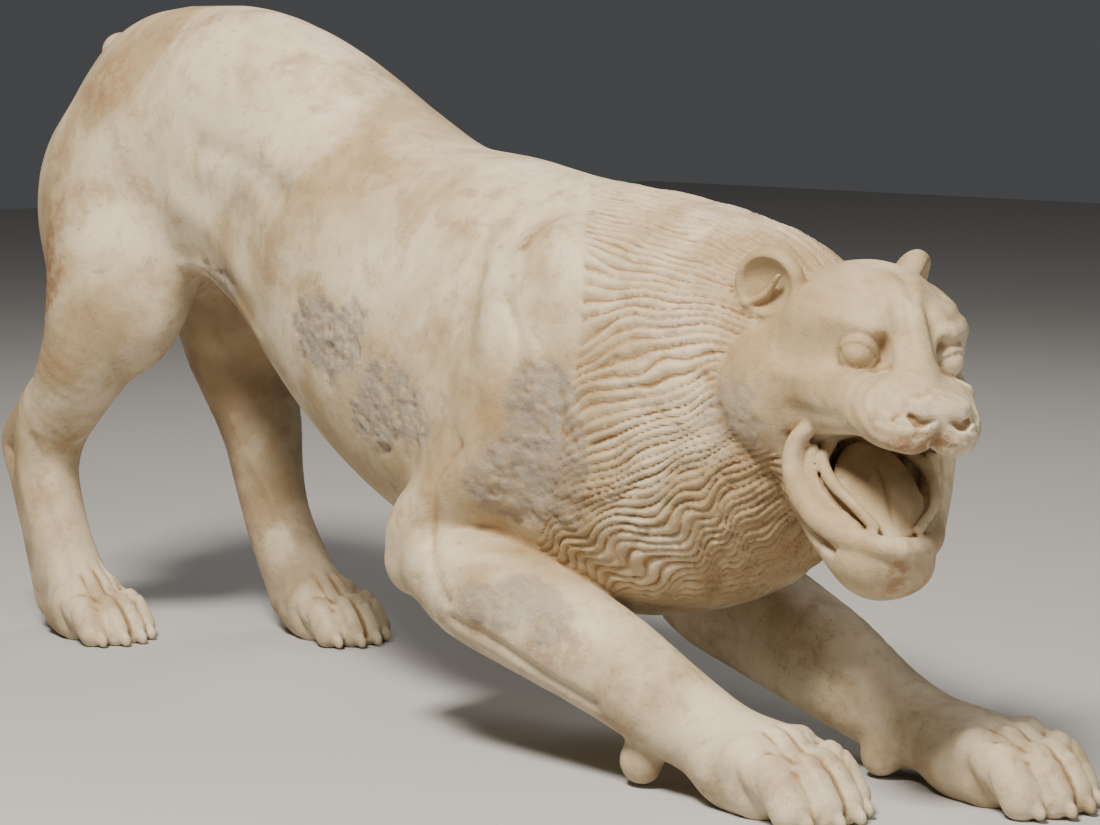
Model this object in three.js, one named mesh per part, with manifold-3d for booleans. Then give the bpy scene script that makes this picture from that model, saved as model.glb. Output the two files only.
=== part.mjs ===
// A marble lion carved in one piece and crouched to spring: the rump high, the chest low over stretched
// forelegs, the head turned to its right with the jaws wide open, the mane cut as rows of wavy locks, and
// of the tail only a broken stump. Millimetres, +Z up. The lion faces +X and its left side is +Y.
import * as THREE from "three";
import { mergeVertices } from "three/addons/utils/BufferGeometryUtils.js";
import Module from "manifold-3d";

// Driving dimensions
const LENGTH = 1600; // from the point of the right hock to the claws of the left fore paw
const LOCK_WIDTH = 30; // of one lock of the mane, across its strands
const LOCK_LENGTH = 96;
const LOCK_DEPTH = 8; // of the groove between two locks
const EYE_RADIUS = 15.5;
const TOES = 4; // on each paw
const TEETH = 5; // on each side of the lower jaw

// The surface as it is cut: the finest chisel step and the number of flat facets that are kept
const CHISEL_STEP = 7;
const FACETS = 9300;

// Proportions and pose below are written for a lion about 1590 long, and scaled to LENGTH at the end.

// Signed distance forms: each takes x, y, z and gives a distance that is negative inside.

const radians = THREE.MathUtils.degToRad;
const clamp = THREE.MathUtils.clamp;
const smoothstep = THREE.MathUtils.smoothstep;

function egg(rx, ry, rz) {
  return (x, y, z) => {
    const a = x / rx;
    const b = y / ry;
    const c = z / rz;
    const reach = Math.sqrt(a * a + b * b + c * c);
    const steepness = Math.sqrt((a * a) / (rx * rx) + (b * b) / (ry * ry) + (c * c) / (rz * rz));
    return (reach * (reach - 1)) / (steepness + 1e-9);
  };
}

// A form set at a point, with its own axes turned by yaw to the left, pitch upwards and roll left side up.
function placed(form, [px, py, pz], yaw = 0, pitch = 0, roll = 0) {
  const turn = new THREE.Euler(radians(roll), radians(-pitch), radians(yaw), "ZYX");
  const [ax, ay, az, , bx, by, bz, , cx, cy, cz] = new THREE.Matrix4().makeRotationFromEuler(turn).elements;
  return (x, y, z) => {
    const dx = x - px;
    const dy = y - py;
    const dz = z - pz;
    return form(
      ax * dx + ay * dy + az * dz,
      bx * dx + by * dy + bz * dz,
      cx * dx + cy * dy + cz * dz,
    );
  };
}

const eggAt = (x, y, z, rx, ry, rz, yaw = 0, pitch = 0, roll = 0) =>
  placed(egg(rx, ry, rz), [x, y, z], yaw, pitch, roll);

// A round limb along a smooth curve: each knot is x, y, z and the limb's radius there.
function limb(knots, steps = 4) {
  const path = new THREE.CatmullRomCurve3(knots.map(([x, y, z]) => new THREE.Vector3(x, y, z)));
  const girth = new THREE.SplineCurve(knots.map((knot, i) => new THREE.Vector2(i, knot[3])));
  const count = (knots.length - 1) * steps;
  const rings = new Float64Array(4 * (count + 1));
  for (let i = 0; i <= count; i += 1) {
    const { x, y, z } = path.getPoint(i / count);
    rings.set([x, y, z, girth.getPoint(i / count).y], 4 * i);
  }
  return (x, y, z) => {
    let nearest = Infinity;
    for (let i = 0; i < 4 * count; i += 4) {
      const ax = rings[i + 4] - rings[i];
      const ay = rings[i + 5] - rings[i + 1];
      const az = rings[i + 6] - rings[i + 2];
      const dx = x - rings[i];
      const dy = y - rings[i + 1];
      const dz = z - rings[i + 2];
      const share = Math.min(Math.max((dx * ax + dy * ay + dz * az) / (ax * ax + ay * ay + az * az), 0), 1);
      const gx = dx - share * ax;
      const gy = dy - share * ay;
      const gz = dz - share * az;
      const radius = rings[i + 3] + share * (rings[i + 7] - rings[i + 3]);
      nearest = Math.min(nearest, Math.sqrt(gx * gx + gy * gy + gz * gz) - radius);
    }
    return nearest;
  };
}

const mirrored = (form) => (x, y, z) => form(x, Math.abs(y), z);

// The smooth union of two distances, rounded over a band of the given width.
function melt(a, b, band) {
  const overlap = Math.max(band - Math.abs(a - b), 0) / band;
  return Math.min(a, b) - (overlap * overlap * band) / 4;
}

function blend(band, ...forms) {
  return (x, y, z) => {
    let gap = forms[0](x, y, z);
    for (let i = 1; i < forms.length; i += 1) gap = melt(gap, forms[i](x, y, z), band);
    return gap;
  };
}

const carve = (band, form, cut) => (x, y, z) => -melt(-form(x, y, z), cut(x, y, z), band);

// The form inside a ball, and far from it only the distance to the ball, which is all that counts there.
function within([cx, cy, cz], reach, form) {
  const margin = 45;
  return (x, y, z) => {
    const gap = Math.sqrt((x - cx) ** 2 + (y - cy) ** 2 + (z - cz) ** 2) - reach;
    return gap > margin ? gap : form(x, y, z);
  };
}

// A smooth curve through values given at rising places.
function profile(places, values) {
  const last = places.length - 1;
  const slopes = places.map((_, i) => {
    const before = Math.max(i - 1, 0);
    const after = Math.min(i + 1, last);
    return (values[after] - values[before]) / (places[after] - places[before]);
  });
  return (place) => {
    let i = 0;
    while (i < last - 1 && place > places[i + 1]) i += 1;
    const span = places[i + 1] - places[i];
    const t = clamp((place - places[i]) / span, 0, 1);
    const u = 1 - t;
    return (
      u * u * (1 + 2 * t) * values[i] +
      t * t * (3 - 2 * t) * values[i + 1] +
      u * u * t * span * slopes[i] -
      t * t * u * span * slopes[i + 1]
    );
  };
}

// Trunk: the ridge of the back, the line of the belly, the half width and the height of the widest place
const TRUNK = [
  { x: -640, back: 742, belly: 520, half: 72, widest: 620 },
  { x: -560, back: 780, belly: 462, half: 108, widest: 608 },
  { x: -430, back: 787, belly: 452, half: 120, widest: 598 },
  { x: -330, back: 771, belly: 392, half: 122, widest: 575 },
  { x: -230, back: 734, belly: 305, half: 134, widest: 520 },
  { x: -130, back: 680, belly: 246, half: 150, widest: 455 },
  { x: -30, back: 634, belly: 203, half: 162, widest: 405 },
  { x: 90, back: 618, belly: 170, half: 168, widest: 375 },
  { x: 200, back: 600, belly: 150, half: 168, widest: 362 },
  { x: 320, back: 588, belly: 147, half: 158, widest: 352 },
  { x: 420, back: 572, belly: 172, half: 138, widest: 362 },
  { x: 500, back: 548, belly: 216, half: 112, widest: 378 },
  { x: 570, back: 500, belly: 280, half: 74, widest: 395 },
];
const stations = TRUNK.map((row) => row.x);
const backAt = profile(stations, TRUNK.map((row) => row.back));
const bellyAt = profile(stations, TRUNK.map((row) => row.belly));
const halfAt = profile(stations, TRUNK.map((row) => row.half));
const widestAt = profile(stations, TRUNK.map((row) => row.widest));
const TRUNK_FULLNESS = 2.15; // 2 gives elliptical sections, more gives squarer ones

function trunk(x, y, z) {
  const place = clamp(x, stations[0], stations.at(-1));
  const middle = widestAt(place);
  const half = halfAt(place);
  const rise = z > middle ? backAt(place) - middle : middle - bellyAt(place);
  const a = Math.abs(y) / half;
  const b = Math.abs(z - middle) / rise;
  const n = TRUNK_FULLNESS;
  const reach = Math.pow(Math.pow(a, n) + Math.pow(b, n), 1 / n) + 1e-6;
  const steepness =
    Math.hypot(Math.pow(a, n - 1) / half, Math.pow(b, n - 1) / rise) / Math.pow(reach, n - 1) + 1e-6;
  const gap = Math.max((reach - 1) / steepness, -60);
  const beyond = Math.abs(x - place);
  return Math.sqrt(Math.max(gap, 0) ** 2 + beyond * beyond) + Math.min(gap, 0);
}

// A foot stands at the origin of its own frame, toes forwards: a pad, and toes that rise to a knuckle.
function foot(width, length, height) {
  const girth = (0.7 * width) / TOES;
  const toes = Array.from({ length: TOES }, (_, i) => {
    const side = (2 * i) / (TOES - 1) - 1;
    const setBack = 0.2 * length * side * side;
    const toe = limb([
      [-0.4 * length - setBack, side * 0.24 * width, 0.5 * height, girth],
      [0.04 * length - setBack, side * 0.32 * width, 0.74 * height, girth * 1.04],
      [0.46 * length - setBack, side * 0.365 * width, 0.6 * height, girth * 1.06],
      [0.76 * length - setBack, side * 0.37 * width, 0.95 * girth, girth * 1.05],
    ], 3);
    const claw = eggAt(0.96 * length - setBack, side * 0.375 * width, 0.62 * girth, 11, 7, 9, 0, -35);
    return blend(4, toe, claw);
  });
  const pad = eggAt(-0.2 * length, 0, 0.4 * height, 0.8 * length, 0.45 * width, 0.56 * height);
  return blend(10, pad, blend(4, ...toes));
}

// A hind leg: shank from the knee to the instep, heel with the tendon above it, and the paw
function hindLeg(side, shankKnots, heelKnots, toes) {
  const sided = ([x, y, z, r]) => [x, side * y, z, r];
  const shank = limb(shankKnots.map(sided));
  const heel = limb(heelKnots.map(sided));
  const paw = placed(foot(98, 80, 64), [toes.x, side * toes.y, 0], -side * toes.splay);
  return blend(16, blend(24, shank, heel), paw);
}

const rightHindLeg = within([-660, -100, 250], 330, hindLeg(-1, [
  [-560, 80, 480, 84],
  [-572, 98, 425, 76],
  [-592, 110, 370, 62],
  [-638, 111, 312, 51],
  [-690, 110, 256, 46],
  [-702, 110, 205, 40],
  [-686, 110, 145, 38],
  [-660, 109, 88, 40],
  [-622, 108, 50, 38],
], [
  [-686, 110, 300, 26],
  [-742, 110, 256, 28],
  [-768, 110, 229, 22],
  [-744, 110, 180, 23],
  [-712, 109, 110, 26],
  [-682, 108, 40, 30],
], { x: -600, y: 108, splay: 2 }));

const leftHindLeg = within([-540, 100, 250], 330, hindLeg(1, [
  [-552, 80, 480, 86],
  [-564, 93, 420, 81],
  [-574, 99, 365, 70],
  [-556, 101, 312, 60],
  [-530, 102, 258, 51],
  [-518, 103, 205, 44],
  [-500, 105, 145, 40],
  [-466, 107, 88, 40],
  [-424, 108, 50, 38],
], [
  [-536, 103, 300, 30],
  [-550, 103, 256, 32],
  [-556, 103, 224, 25],
  [-536, 104, 172, 24],
  [-504, 106, 108, 27],
  [-474, 108, 40, 30],
], { x: -396, y: 108, splay: 2 }));

// The rump over the hips, and a thigh with its knee on each side
function haunch(side, kneeX) {
  const thigh = eggAt(-572, side * 68, 566, 122, 64, 146, 0, -6);
  const rear = eggAt(-622, side * 80, 520, 92, 58, 124, 0, 8);
  const knee = eggAt(kneeX, side * 84, 440, 66, 46, 92, 0, -18);
  return blend(50, thigh, rear, knee);
}

const rump = eggAt(-592, 0, 632, 110, 92, 132);
const haunches = within([-570, 0, 540], 300,
  blend(36, rump, haunch(-1, -520), haunch(1, -470)));

// A foreleg: shoulder blade with its ridge, upper arm, the ball of the elbow, and a forearm that lies low
function shoulder(side, elbowX) {
  const blade = eggAt(262, side * 104, 432, 92, 58, 122, 0, -8);
  const ridge = limb([
    [268, side * 96, 534, 22],
    [232, side * 124, 500, 22],
    [206, side * 141, 440, 23],
    [196, side * 146, 360, 26],
  ]);
  const upperArm = limb([
    [250, side * 116, 400, 60],
    [212, side * 134, 320, 54],
    [elbowX + 52, side * 144, 272, 48],
    [elbowX + 10, side * 152, 228, 46],
    [elbowX, side * 153, 196, 42],
  ]);
  return blend(20, blend(24, blade, ridge), upperArm);
}

const shoulders = blend(20,
  within([220, -120, 380], 260, shoulder(-1, 100)),
  within([240, 120, 380], 260, shoulder(1, 150)));

function foreLeg(side, knots, toes) {
  const arm = limb(knots.map(([x, y, z, r]) => [x, side * y, z, r]));
  const heelPad = eggAt(toes.x - 62, side * toes.y, 34, 40, 44, 34);
  const paw = placed(foot(114, 88, 76), [toes.x, side * toes.y, 0], -side * toes.splay);
  return blend(20, blend(20, arm, heelPad), paw);
}

const rightForeLeg = within([330, -120, 110], 420, blend(16,
  foreLeg(-1, [
    [148, 156, 196, 52],
    [192, 150, 178, 61],
    [270, 139, 152, 60],
    [365, 126, 118, 55],
    [446, 114, 80, 48],
    [506, 107, 58, 43],
    [556, 103, 50, 40],
  ], { x: 580, y: 100, splay: 1 }),
  eggAt(411, -128, 26, 25, 19, 23)));

const leftForeLeg = within([450, 110, 90], 420, blend(16,
  foreLeg(1, [
    [196, 146, 186, 54],
    [250, 134, 154, 65],
    [350, 124, 126, 64],
    [440, 116, 98, 58],
    [520, 111, 68, 48],
    [590, 106, 50, 42],
    [650, 102, 46, 41],
  ], { x: 700, y: 100, splay: 1 }),
  eggAt(548, 78, 22, 22, 18, 20)));

// Head, in its own frame: x out of the nose, y to its left, z up
const HEAD = { place: [619, -22, 420], yaw: -25, pitch: -2, roll: -6 };

// The gap between the jaws, as circles in the middle plane that run out to both sides
const GAPE = [
  { x: 42, z: -84, radius: 27 },
  { x: 88, z: -86, radius: 43 },
  { x: 134, z: -98, radius: 50 },
  { x: 204, z: -104, radius: 56 },
];
const gapeProfile = limb(GAPE.map(({ x, z, radius }) => [x, 0, z, radius]));
const gape = (x, y, z) => gapeProfile(x, 0, z);

// One side of the face: the cheek, the ridge from the cheek under the eye on to the muzzle, and the brow.
// The right side is broader than the left.
function faceSide(side, breadth) {
  const cheek = eggAt(-66, side * (breadth - 56), -22, 84, 68, 74);
  const cheekBone = limb([
    [-50, side * (breadth - 30), -6, 24],
    [16, side * (breadth - 42), -6, 20],
    [52, side * 60, -5, 19],
    [80, side * 44, -1, 17],
    [104, side * 30, 2, 15],
  ], 3);
  const brow = limb([
    [-4, side * (breadth - 54), 56, 24],
    [40, side * 50, 62, 19],
    [66, side * 35, 60, 16],
  ], 3);
  return blend(20, cheek, cheekBone, brow);
}

function skull() {
  const cranium = eggAt(-24, 0, 30, 102, 90, 85);
  const bridge = limb([
    [40, 0, 78, 24],
    [76, 0, 56, 18],
    [99, 0, 30, 18],
    [122, 0, 2, 17],
    [150, 0, -6, 16],
  ]);
  const upperLip = mirrored(limb([
    [6, 54, -30, 20],
    [50, 51, -23, 24],
    [90, 41, -16, 27],
    [126, 30, -23, 27],
    [145, 22, -27, 24],
  ], 3));
  const nosePad = eggAt(144, 0, -3, 21, 33, 15, 0, -8);
  const face = blend(26, cranium, faceSide(-1, 118), faceSide(1, 104), bridge);
  return blend(8, blend(24, face, upperLip), nosePad);
}

function jaw() {
  const root = limb([[-40, 0, -84, 56], [30, 0, -134, 40]], 2);
  const side = mirrored(limb([
    [-34, 52, -74, 31],
    [6, 48, -111, 25],
    [46, 39, -143, 23],
    [84, 22, -158, 22],
  ], 3));
  const chin = eggAt(70, 0, -160, 42, 44, 39);
  return blend(24, root, side, chin);
}

// The lip is a band along the edge of the lower jaw. Inside it a row of teeth stands in the gum on each
// side, and between them lies the tongue, with a raised edge and a groove down its middle.
function mouthParts() {
  const lip = mirrored(limb([
    [26, 71, -46, 8],
    [18, 78, -62, 10],
    [18, 78, -84, 11],
    [27, 73, -106, 12],
    [49, 61, -127, 12],
    [82, 44, -138, 12],
    [106, 22, -142, 11],
    [113, 0, -142, 11],
  ]));
  const gum = mirrored(limb([[20, 66, -66, 9], [26, 66, -86, 14], [44, 57, -110, 15], [78, 37, -130, 13]], 3));
  const teeth = Array.from({ length: TEETH }, (_, i) => {
    const share = i / (TEETH - 1);
    return mirrored(eggAt(32 + 40 * share, 60 - 17 * share, -88 - 33 * share, 8, 6, 9, 0, -40));
  });
  const flat = eggAt(54, 0, -109, 74, 45, 17, 0, -42);
  const edge = mirrored(limb([
    [10, 40, -62, 6],
    [30, 54, -76, 6],
    [56, 53, -92, 6],
    [82, 42, -106, 5],
    [98, 22, -126, 5],
  ], 3));
  const groove = limb([[20, 0, -58, 3], [64, 0, -98, 4], [92, 0, -122, 3]], 2);
  return blend(5, lip, blend(5, gum, ...teeth), carve(3, blend(5, flat, edge), groove));
}

function ear(side, place) {
  const shell = egg(42, 21, 37);
  const hollow = placed(egg(33, 14, 28), [4, 15, 1]);
  const cup = placed(carve(5, shell, hollow), place, -26, 14, -12);
  return (x, y, z) => cup(x, side * y, z);
}

// The lids are shells over the ball of the eye: each ends at a plane through the corners of the eye.
function eyelids(x, y, z) {
  const reach = Math.hypot(x, y, z);
  const upper = Math.max(reach - (EYE_RADIUS + 3.5), 0.66 * x - 0.75 * z);
  const lower = Math.max(reach - (EYE_RADIUS + 2.5), 0.83 * x + 0.56 * z);
  return Math.min(upper, lower);
}

function eye(side, place, yaw) {
  const ball = blend(1, egg(EYE_RADIUS, EYE_RADIUS, EYE_RADIUS), eyelids);
  const set = placed(ball, place, yaw);
  return (x, y, z) => set(x, side * y, z);
}

function headForm() {
  const sockets = mirrored(eggAt(92, 58, 36, 22, 24, 17, 34));
  const corners = mirrored(eggAt(90, 34, 40, 17, 8, 15, 20));
  const throat = eggAt(16, 0, -78, 50, 42, 26);
  const browFurrows = mirrored(limb([[74, 17, 86, 6], [106, 20, 42, 6]], 2));
  const open = carve(6, blend(20, skull(), jaw()), (x, y, z) => Math.min(gape(x, y, z), throat(x, y, z)));
  const faced = carve(7, carve(9, carve(12, open, sockets), browFurrows), corners);
  const eyes = blend(1, eye(-1, [68, 48, 33], 34), eye(1, [67, 45, 32], 30));
  const ears = blend(2, ear(-1, [-60, 92, 80]), ear(1, [-92, 68, 88]));
  return blend(3, blend(4, faced, mouthParts()), eyes, ears);
}

const head = within(HEAD.place, 235, placed(headForm(), HEAD.place, HEAD.yaw, HEAD.pitch, HEAD.roll));

// The broken root of the tail
const tailStump = limb([[-640, 0, 712, 36], [-680, 0, 730, 25]], 2);

// Mane: rows of locks that run back from the face, each row waving and its locks set off from the next row
const MANE_START = 200; // on the ridge of the back, further forward down the sides
const locksAround = (Math.PI * 185) / LOCK_WIDTH;

function maneShare(x, y, z, headGap, legGap) {
  const edge = MANE_START + 0.95 * Math.min(Math.abs(y), 160) - 0.3 * Math.max(450 - z, 0);
  return (
    smoothstep(x, edge, edge + 12) *
    smoothstep(z, 165, 215) *
    smoothstep(headGap, 2, 16) *
    smoothstep(legGap, 3, 16)
  );
}

function lockHeight(x, y, z) {
  const place = clamp(x, stations[0], stations.at(-1));
  const middle = widestAt(place);
  const rise = z > middle ? backAt(place) - middle : middle - bellyAt(place);
  const around = Math.atan2(Math.abs(y) / halfAt(place), (z - middle) / rise) / Math.PI;
  const low = smoothstep(around, 0.5, 0.8);
  const wave = (0.16 + 0.3 * low) * Math.sin((x / LOCK_LENGTH) * 2 * Math.PI + 9 * around);
  const row = around * locksAround + 0.25 * ((x - 350) / LOCK_WIDTH) * smoothstep(around, 0.15, 0.5) + wave;
  const across = row - Math.floor(row);
  const crest = 1 - Math.pow(Math.abs(2 * across - 1), 1.6);
  const along = x / LOCK_LENGTH + 0.5 * Math.floor(row) + 0.13 * Math.sin(5 * Math.floor(row));
  const share = along - Math.floor(along);
  const taper = 0.45 + 0.55 * Math.pow(Math.sin(Math.PI * Math.pow(share, 0.7)), 0.6);
  return crest * taper * (0.6 + 0.4 * smoothstep(around, 0.05, 0.35));
}

function lion(x, y, z) {
  const forelegs = Math.min(rightForeLeg(x, y, z), leftForeLeg(x, y, z));
  const hindLegs = Math.min(rightHindLeg(x, y, z), leftHindLeg(x, y, z));
  const headGap = head(x, y, z);
  let body = melt(melt(trunk(x, y, z), haunches(x, y, z), 40), shoulders(x, y, z), 26);
  if (Math.abs(body) < 3 * CHISEL_STEP) {
    const share = maneShare(x, y, z, headGap, forelegs);
    if (share > 0) body += share * LOCK_DEPTH * (0.5 - lockHeight(x, y, z));
  }
  const standing = melt(melt(body, hindLegs, 46), forelegs, 10);
  return melt(melt(standing, headGap, 8), tailStump(x, y, z), 16);
}

// Surface: the form is sampled on a grid, wrapped in facets, and the facets are thinned where it is plain.
const REACH = { low: [-840, -250, -21], high: [840, 250, 826] };
const FIRST_BLOCK = 56; // the width of the blocks that are looked at first

// Blocks of the grid that the surface can't reach take the value at their middle, and the others are halved.
function sampled(form, step) {
  const block = 2 ** Math.round(Math.log2(FIRST_BLOCK / step));
  const size = REACH.low.map((low, n) => block * Math.ceil((REACH.high[n] - low) / step / block));
  const [nx, ny, nz] = size;
  const values = new Float32Array(nx * ny * nz);
  const fill = (i, j, k, width) => {
    const half = (width - 1) / 2;
    const [x, y, z] = [i, j, k].map((index, n) => REACH.low[n] + (index + half) * step);
    const gap = form(x, y, z) || 1e-4;
    if (width === 1 || Math.abs(gap) > 1.1 * width * step) {
      for (let c = k; c < k + width; c += 1) {
        for (let b = j; b < j + width; b += 1) {
          const start = i + nx * (b + ny * c);
          values.fill(gap, start, start + width);
        }
      }
      return;
    }
    const part = width / 2;
    for (let n = 0; n < 8; n += 1) {
      fill(i + part * (n & 1), j + part * ((n >> 1) & 1), k + part * (n >> 2), part);
    }
  };
  for (let k = 0; k < nz; k += block) {
    for (let j = 0; j < ny; j += block) {
      for (let i = 0; i < nx; i += block) fill(i, j, k, block);
    }
  }
  return { values, size, step };
}

// The eight corners of a cell as offsets into the grid: bit 0 of the corner's number is x, bit 1 y, bit 2 z.
const cornerOffsets = ([nx, ny]) =>
  Array.from({ length: 8 }, (_, c) => (c & 1) + nx * (((c >> 1) & 1) + ny * (c >> 2)));

function solidCorners(values, corner, offsets) {
  let solid = 0;
  for (let c = 0; c < 8; c += 1) if (values[corner + offsets[c]] < 0) solid |= 1 << c;
  return solid;
}

// A face of a cell is pinched where only its two diagonal corners are solid, and a cell where only two
// opposite corners are solid or only two are empty.
const FACES = [[0, 1, 2, 3], [4, 5, 6, 7], [0, 1, 4, 5], [2, 3, 6, 7], [0, 2, 4, 6], [1, 3, 5, 7]];
const isPinched = Array.from({ length: 256 }, (_, solid) => {
  const has = (c) => (solid >> c) & 1;
  const face = FACES.some(([a, b, c, d]) => has(a) === has(d) && has(b) === has(c) && has(a) !== has(b));
  const cell = [0, 1, 2, 3].some((c) => [solid, 255 - solid].includes((1 << c) | (1 << (7 - c))));
  return face || cell;
});

// Pinched cells are filled, so that every edge of the surface has two facets.
function fillPinches({ values, size, step }) {
  const offsets = cornerOffsets(size);
  const [nx, ny, nz] = size;
  let changed = true;
  while (changed) {
    changed = false;
    for (let k = 0; k < nz - 1; k += 1) {
      for (let j = 0; j < ny - 1; j += 1) {
        for (let i = 0; i < nx - 1; i += 1) {
          const corner = i + nx * (j + ny * k);
          if (Math.abs(values[corner]) > 4 * step) continue;
          if (!isPinched[solidCorners(values, corner, offsets)]) continue;
          for (const offset of offsets) {
            values[corner + offset] = Math.min(values[corner + offset], -0.1 * step);
          }
          changed = true;
        }
      }
    }
  }
}

const EDGES = [];
for (let c = 0; c < 8; c += 1) {
  for (let axis = 0; axis < 3; axis += 1) if (!((c >> axis) & 1)) EDGES.push([c, c | (1 << axis), axis]);
}

// One vertex in each cell that the surface crosses, and one quad, as two triangles, for each crossed edge.
function wrapped({ values, size, step }) {
  const [nx, ny, nz] = size;
  const strides = [1, nx, nx * ny];
  const offsets = cornerOffsets(size);
  const vertexOf = new Int32Array(values.length).fill(-1);
  const points = [];
  const faces = [];
  for (let k = 0; k < nz - 1; k += 1) {
    for (let j = 0; j < ny - 1; j += 1) {
      for (let i = 0; i < nx - 1; i += 1) {
        const corner = i + nx * (j + ny * k);
        const solid = solidCorners(values, corner, offsets);
        if (solid === 0 || solid === 255) continue;
        const sum = [0, 0, 0];
        let crossings = 0;
        for (const [c, d, axis] of EDGES) {
          if (((solid >> c) & 1) === ((solid >> d) & 1)) continue;
          const a = values[corner + offsets[c]];
          const b = values[corner + offsets[d]];
          crossings += 1;
          for (let n = 0; n < 3; n += 1) sum[n] += (c >> n) & 1;
          sum[axis] += a / (a - b);
        }
        vertexOf[corner] = points.length / 3;
        [i, j, k].forEach((index, n) => points.push(REACH.low[n] + step * (index + sum[n] / crossings)));
      }
    }
  }
  for (let k = 1; k < nz - 1; k += 1) {
    for (let j = 1; j < ny - 1; j += 1) {
      for (let i = 1; i < nx - 1; i += 1) {
        const corner = i + nx * (j + ny * k);
        const solid = values[corner] < 0;
        for (let axis = 0; axis < 3; axis += 1) {
          if (solid === values[corner + strides[axis]] < 0) continue;
          const u = strides[(axis + 1) % 3];
          const v = strides[(axis + 2) % 3];
          const quad = [corner - u - v, corner - v, corner, corner - u].map((index) => vertexOf[index]);
          if (!solid) quad.reverse();
          faces.push(quad[0], quad[1], quad[2], quad[0], quad[2], quad[3]);
        }
      }
    }
  }
  return { points: Float64Array.from(points), faces: Int32Array.from(faces) };
}

// The outer skin alone: hollows that the blends seal inside the marble are left out, so it is solid.
function outerSkin({ points, faces }) {
  const leader = Int32Array.from({ length: points.length / 3 }, (_, v) => v);
  const find = (v) => {
    while (leader[v] !== v) {
      leader[v] = leader[leader[v]];
      v = leader[v];
    }
    return v;
  };
  for (let f = 0; f < faces.length; f += 3) {
    leader[find(faces[f + 1])] = find(faces[f]);
    leader[find(faces[f + 2])] = find(faces[f]);
  }
  const sizes = new Map();
  for (const v of faces) sizes.set(find(v), (sizes.get(find(v)) ?? 0) + 1);
  const [largest] = [...sizes].reduce((best, entry) => (entry[1] > best[1] ? entry : best));
  return { points, faces: faces.filter((_, n) => find(faces[n - (n % 3)]) === largest) };
}

// Each vertex is drawn onto the form along its steepest slope.
function drawOnto(form, points) {
  const probe = 0.5;
  const reach = 0.5 * CHISEL_STEP;
  for (let p = 0; p < points.length; p += 3) {
    const [x, y, z] = points.subarray(p, p + 3);
    const gap = form(x, y, z);
    const slope = [
      (form(x + probe, y, z) - gap) / probe,
      (form(x, y + probe, z) - gap) / probe,
      (form(x, y, z + probe) - gap) / probe,
    ];
    const square = Math.max(slope[0] ** 2 + slope[1] ** 2 + slope[2] ** 2, 0.3);
    const move = clamp(gap / square, -reach, reach);
    for (let n = 0; n < 3; n += 1) points[p + n] -= move * slope[n];
  }
}

// A quadric measures the squared distance to a set of planes. It is kept as the ten different numbers of a
// symmetric 4 x 4 matrix: xx xy xz xw yy yz yw zz zw ww.
function planeQuadric(a, b, c, d, weight) {
  return [a * a, a * b, a * c, a * d, b * b, b * c, b * d, c * c, c * d, d * d].map((term) => weight * term);
}

function quadricAt(q, x, y, z) {
  return (
    q[0] * x * x + 2 * q[1] * x * y + 2 * q[2] * x * z + 2 * q[3] * x +
    q[4] * y * y + 2 * q[5] * y * z + 2 * q[6] * y +
    q[7] * z * z + 2 * q[8] * z + q[9]
  );
}

// The point with the least squared distance, or nothing where the planes leave it open.
function lowestPoint(q) {
  const xx = q[4] * q[7] - q[5] * q[5];
  const xy = q[2] * q[5] - q[1] * q[7];
  const xz = q[1] * q[5] - q[2] * q[4];
  const determinant = q[0] * xx + q[1] * xy + q[2] * xz;
  const size = q[0] + q[4] + q[7];
  if (Math.abs(determinant) < 1e-4 * size * size * size) return null;
  const yy = q[0] * q[7] - q[2] * q[2];
  const yz = q[1] * q[2] - q[0] * q[5];
  const zz = q[0] * q[4] - q[1] * q[1];
  return [
    -(xx * q[3] + xy * q[6] + xz * q[8]) / determinant,
    -(xy * q[3] + yy * q[6] + yz * q[8]) / determinant,
    -(xz * q[3] + yz * q[6] + zz * q[8]) / determinant,
  ];
}

// A queue that gives back the entry with the lowest cost first.
class CostQueue {
  entries = [];

  push(entry) {
    const { entries } = this;
    let at = entries.push(entry) - 1;
    while (at > 0) {
      const above = (at - 1) >> 1;
      if (entries[above].cost <= entry.cost) break;
      entries[at] = entries[above];
      at = above;
    }
    entries[at] = entry;
  }

  pop() {
    const { entries } = this;
    const first = entries[0];
    const moved = entries.pop();
    if (entries.length === 0) return first;
    let at = 0;
    while (2 * at + 1 < entries.length) {
      let below = 2 * at + 1;
      if (below + 1 < entries.length && entries[below + 1].cost < entries[below].cost) below += 1;
      if (entries[below].cost >= moved.cost) break;
      entries[at] = entries[below];
      at = below;
    }
    entries[at] = moved;
    return first;
  }
}

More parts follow.
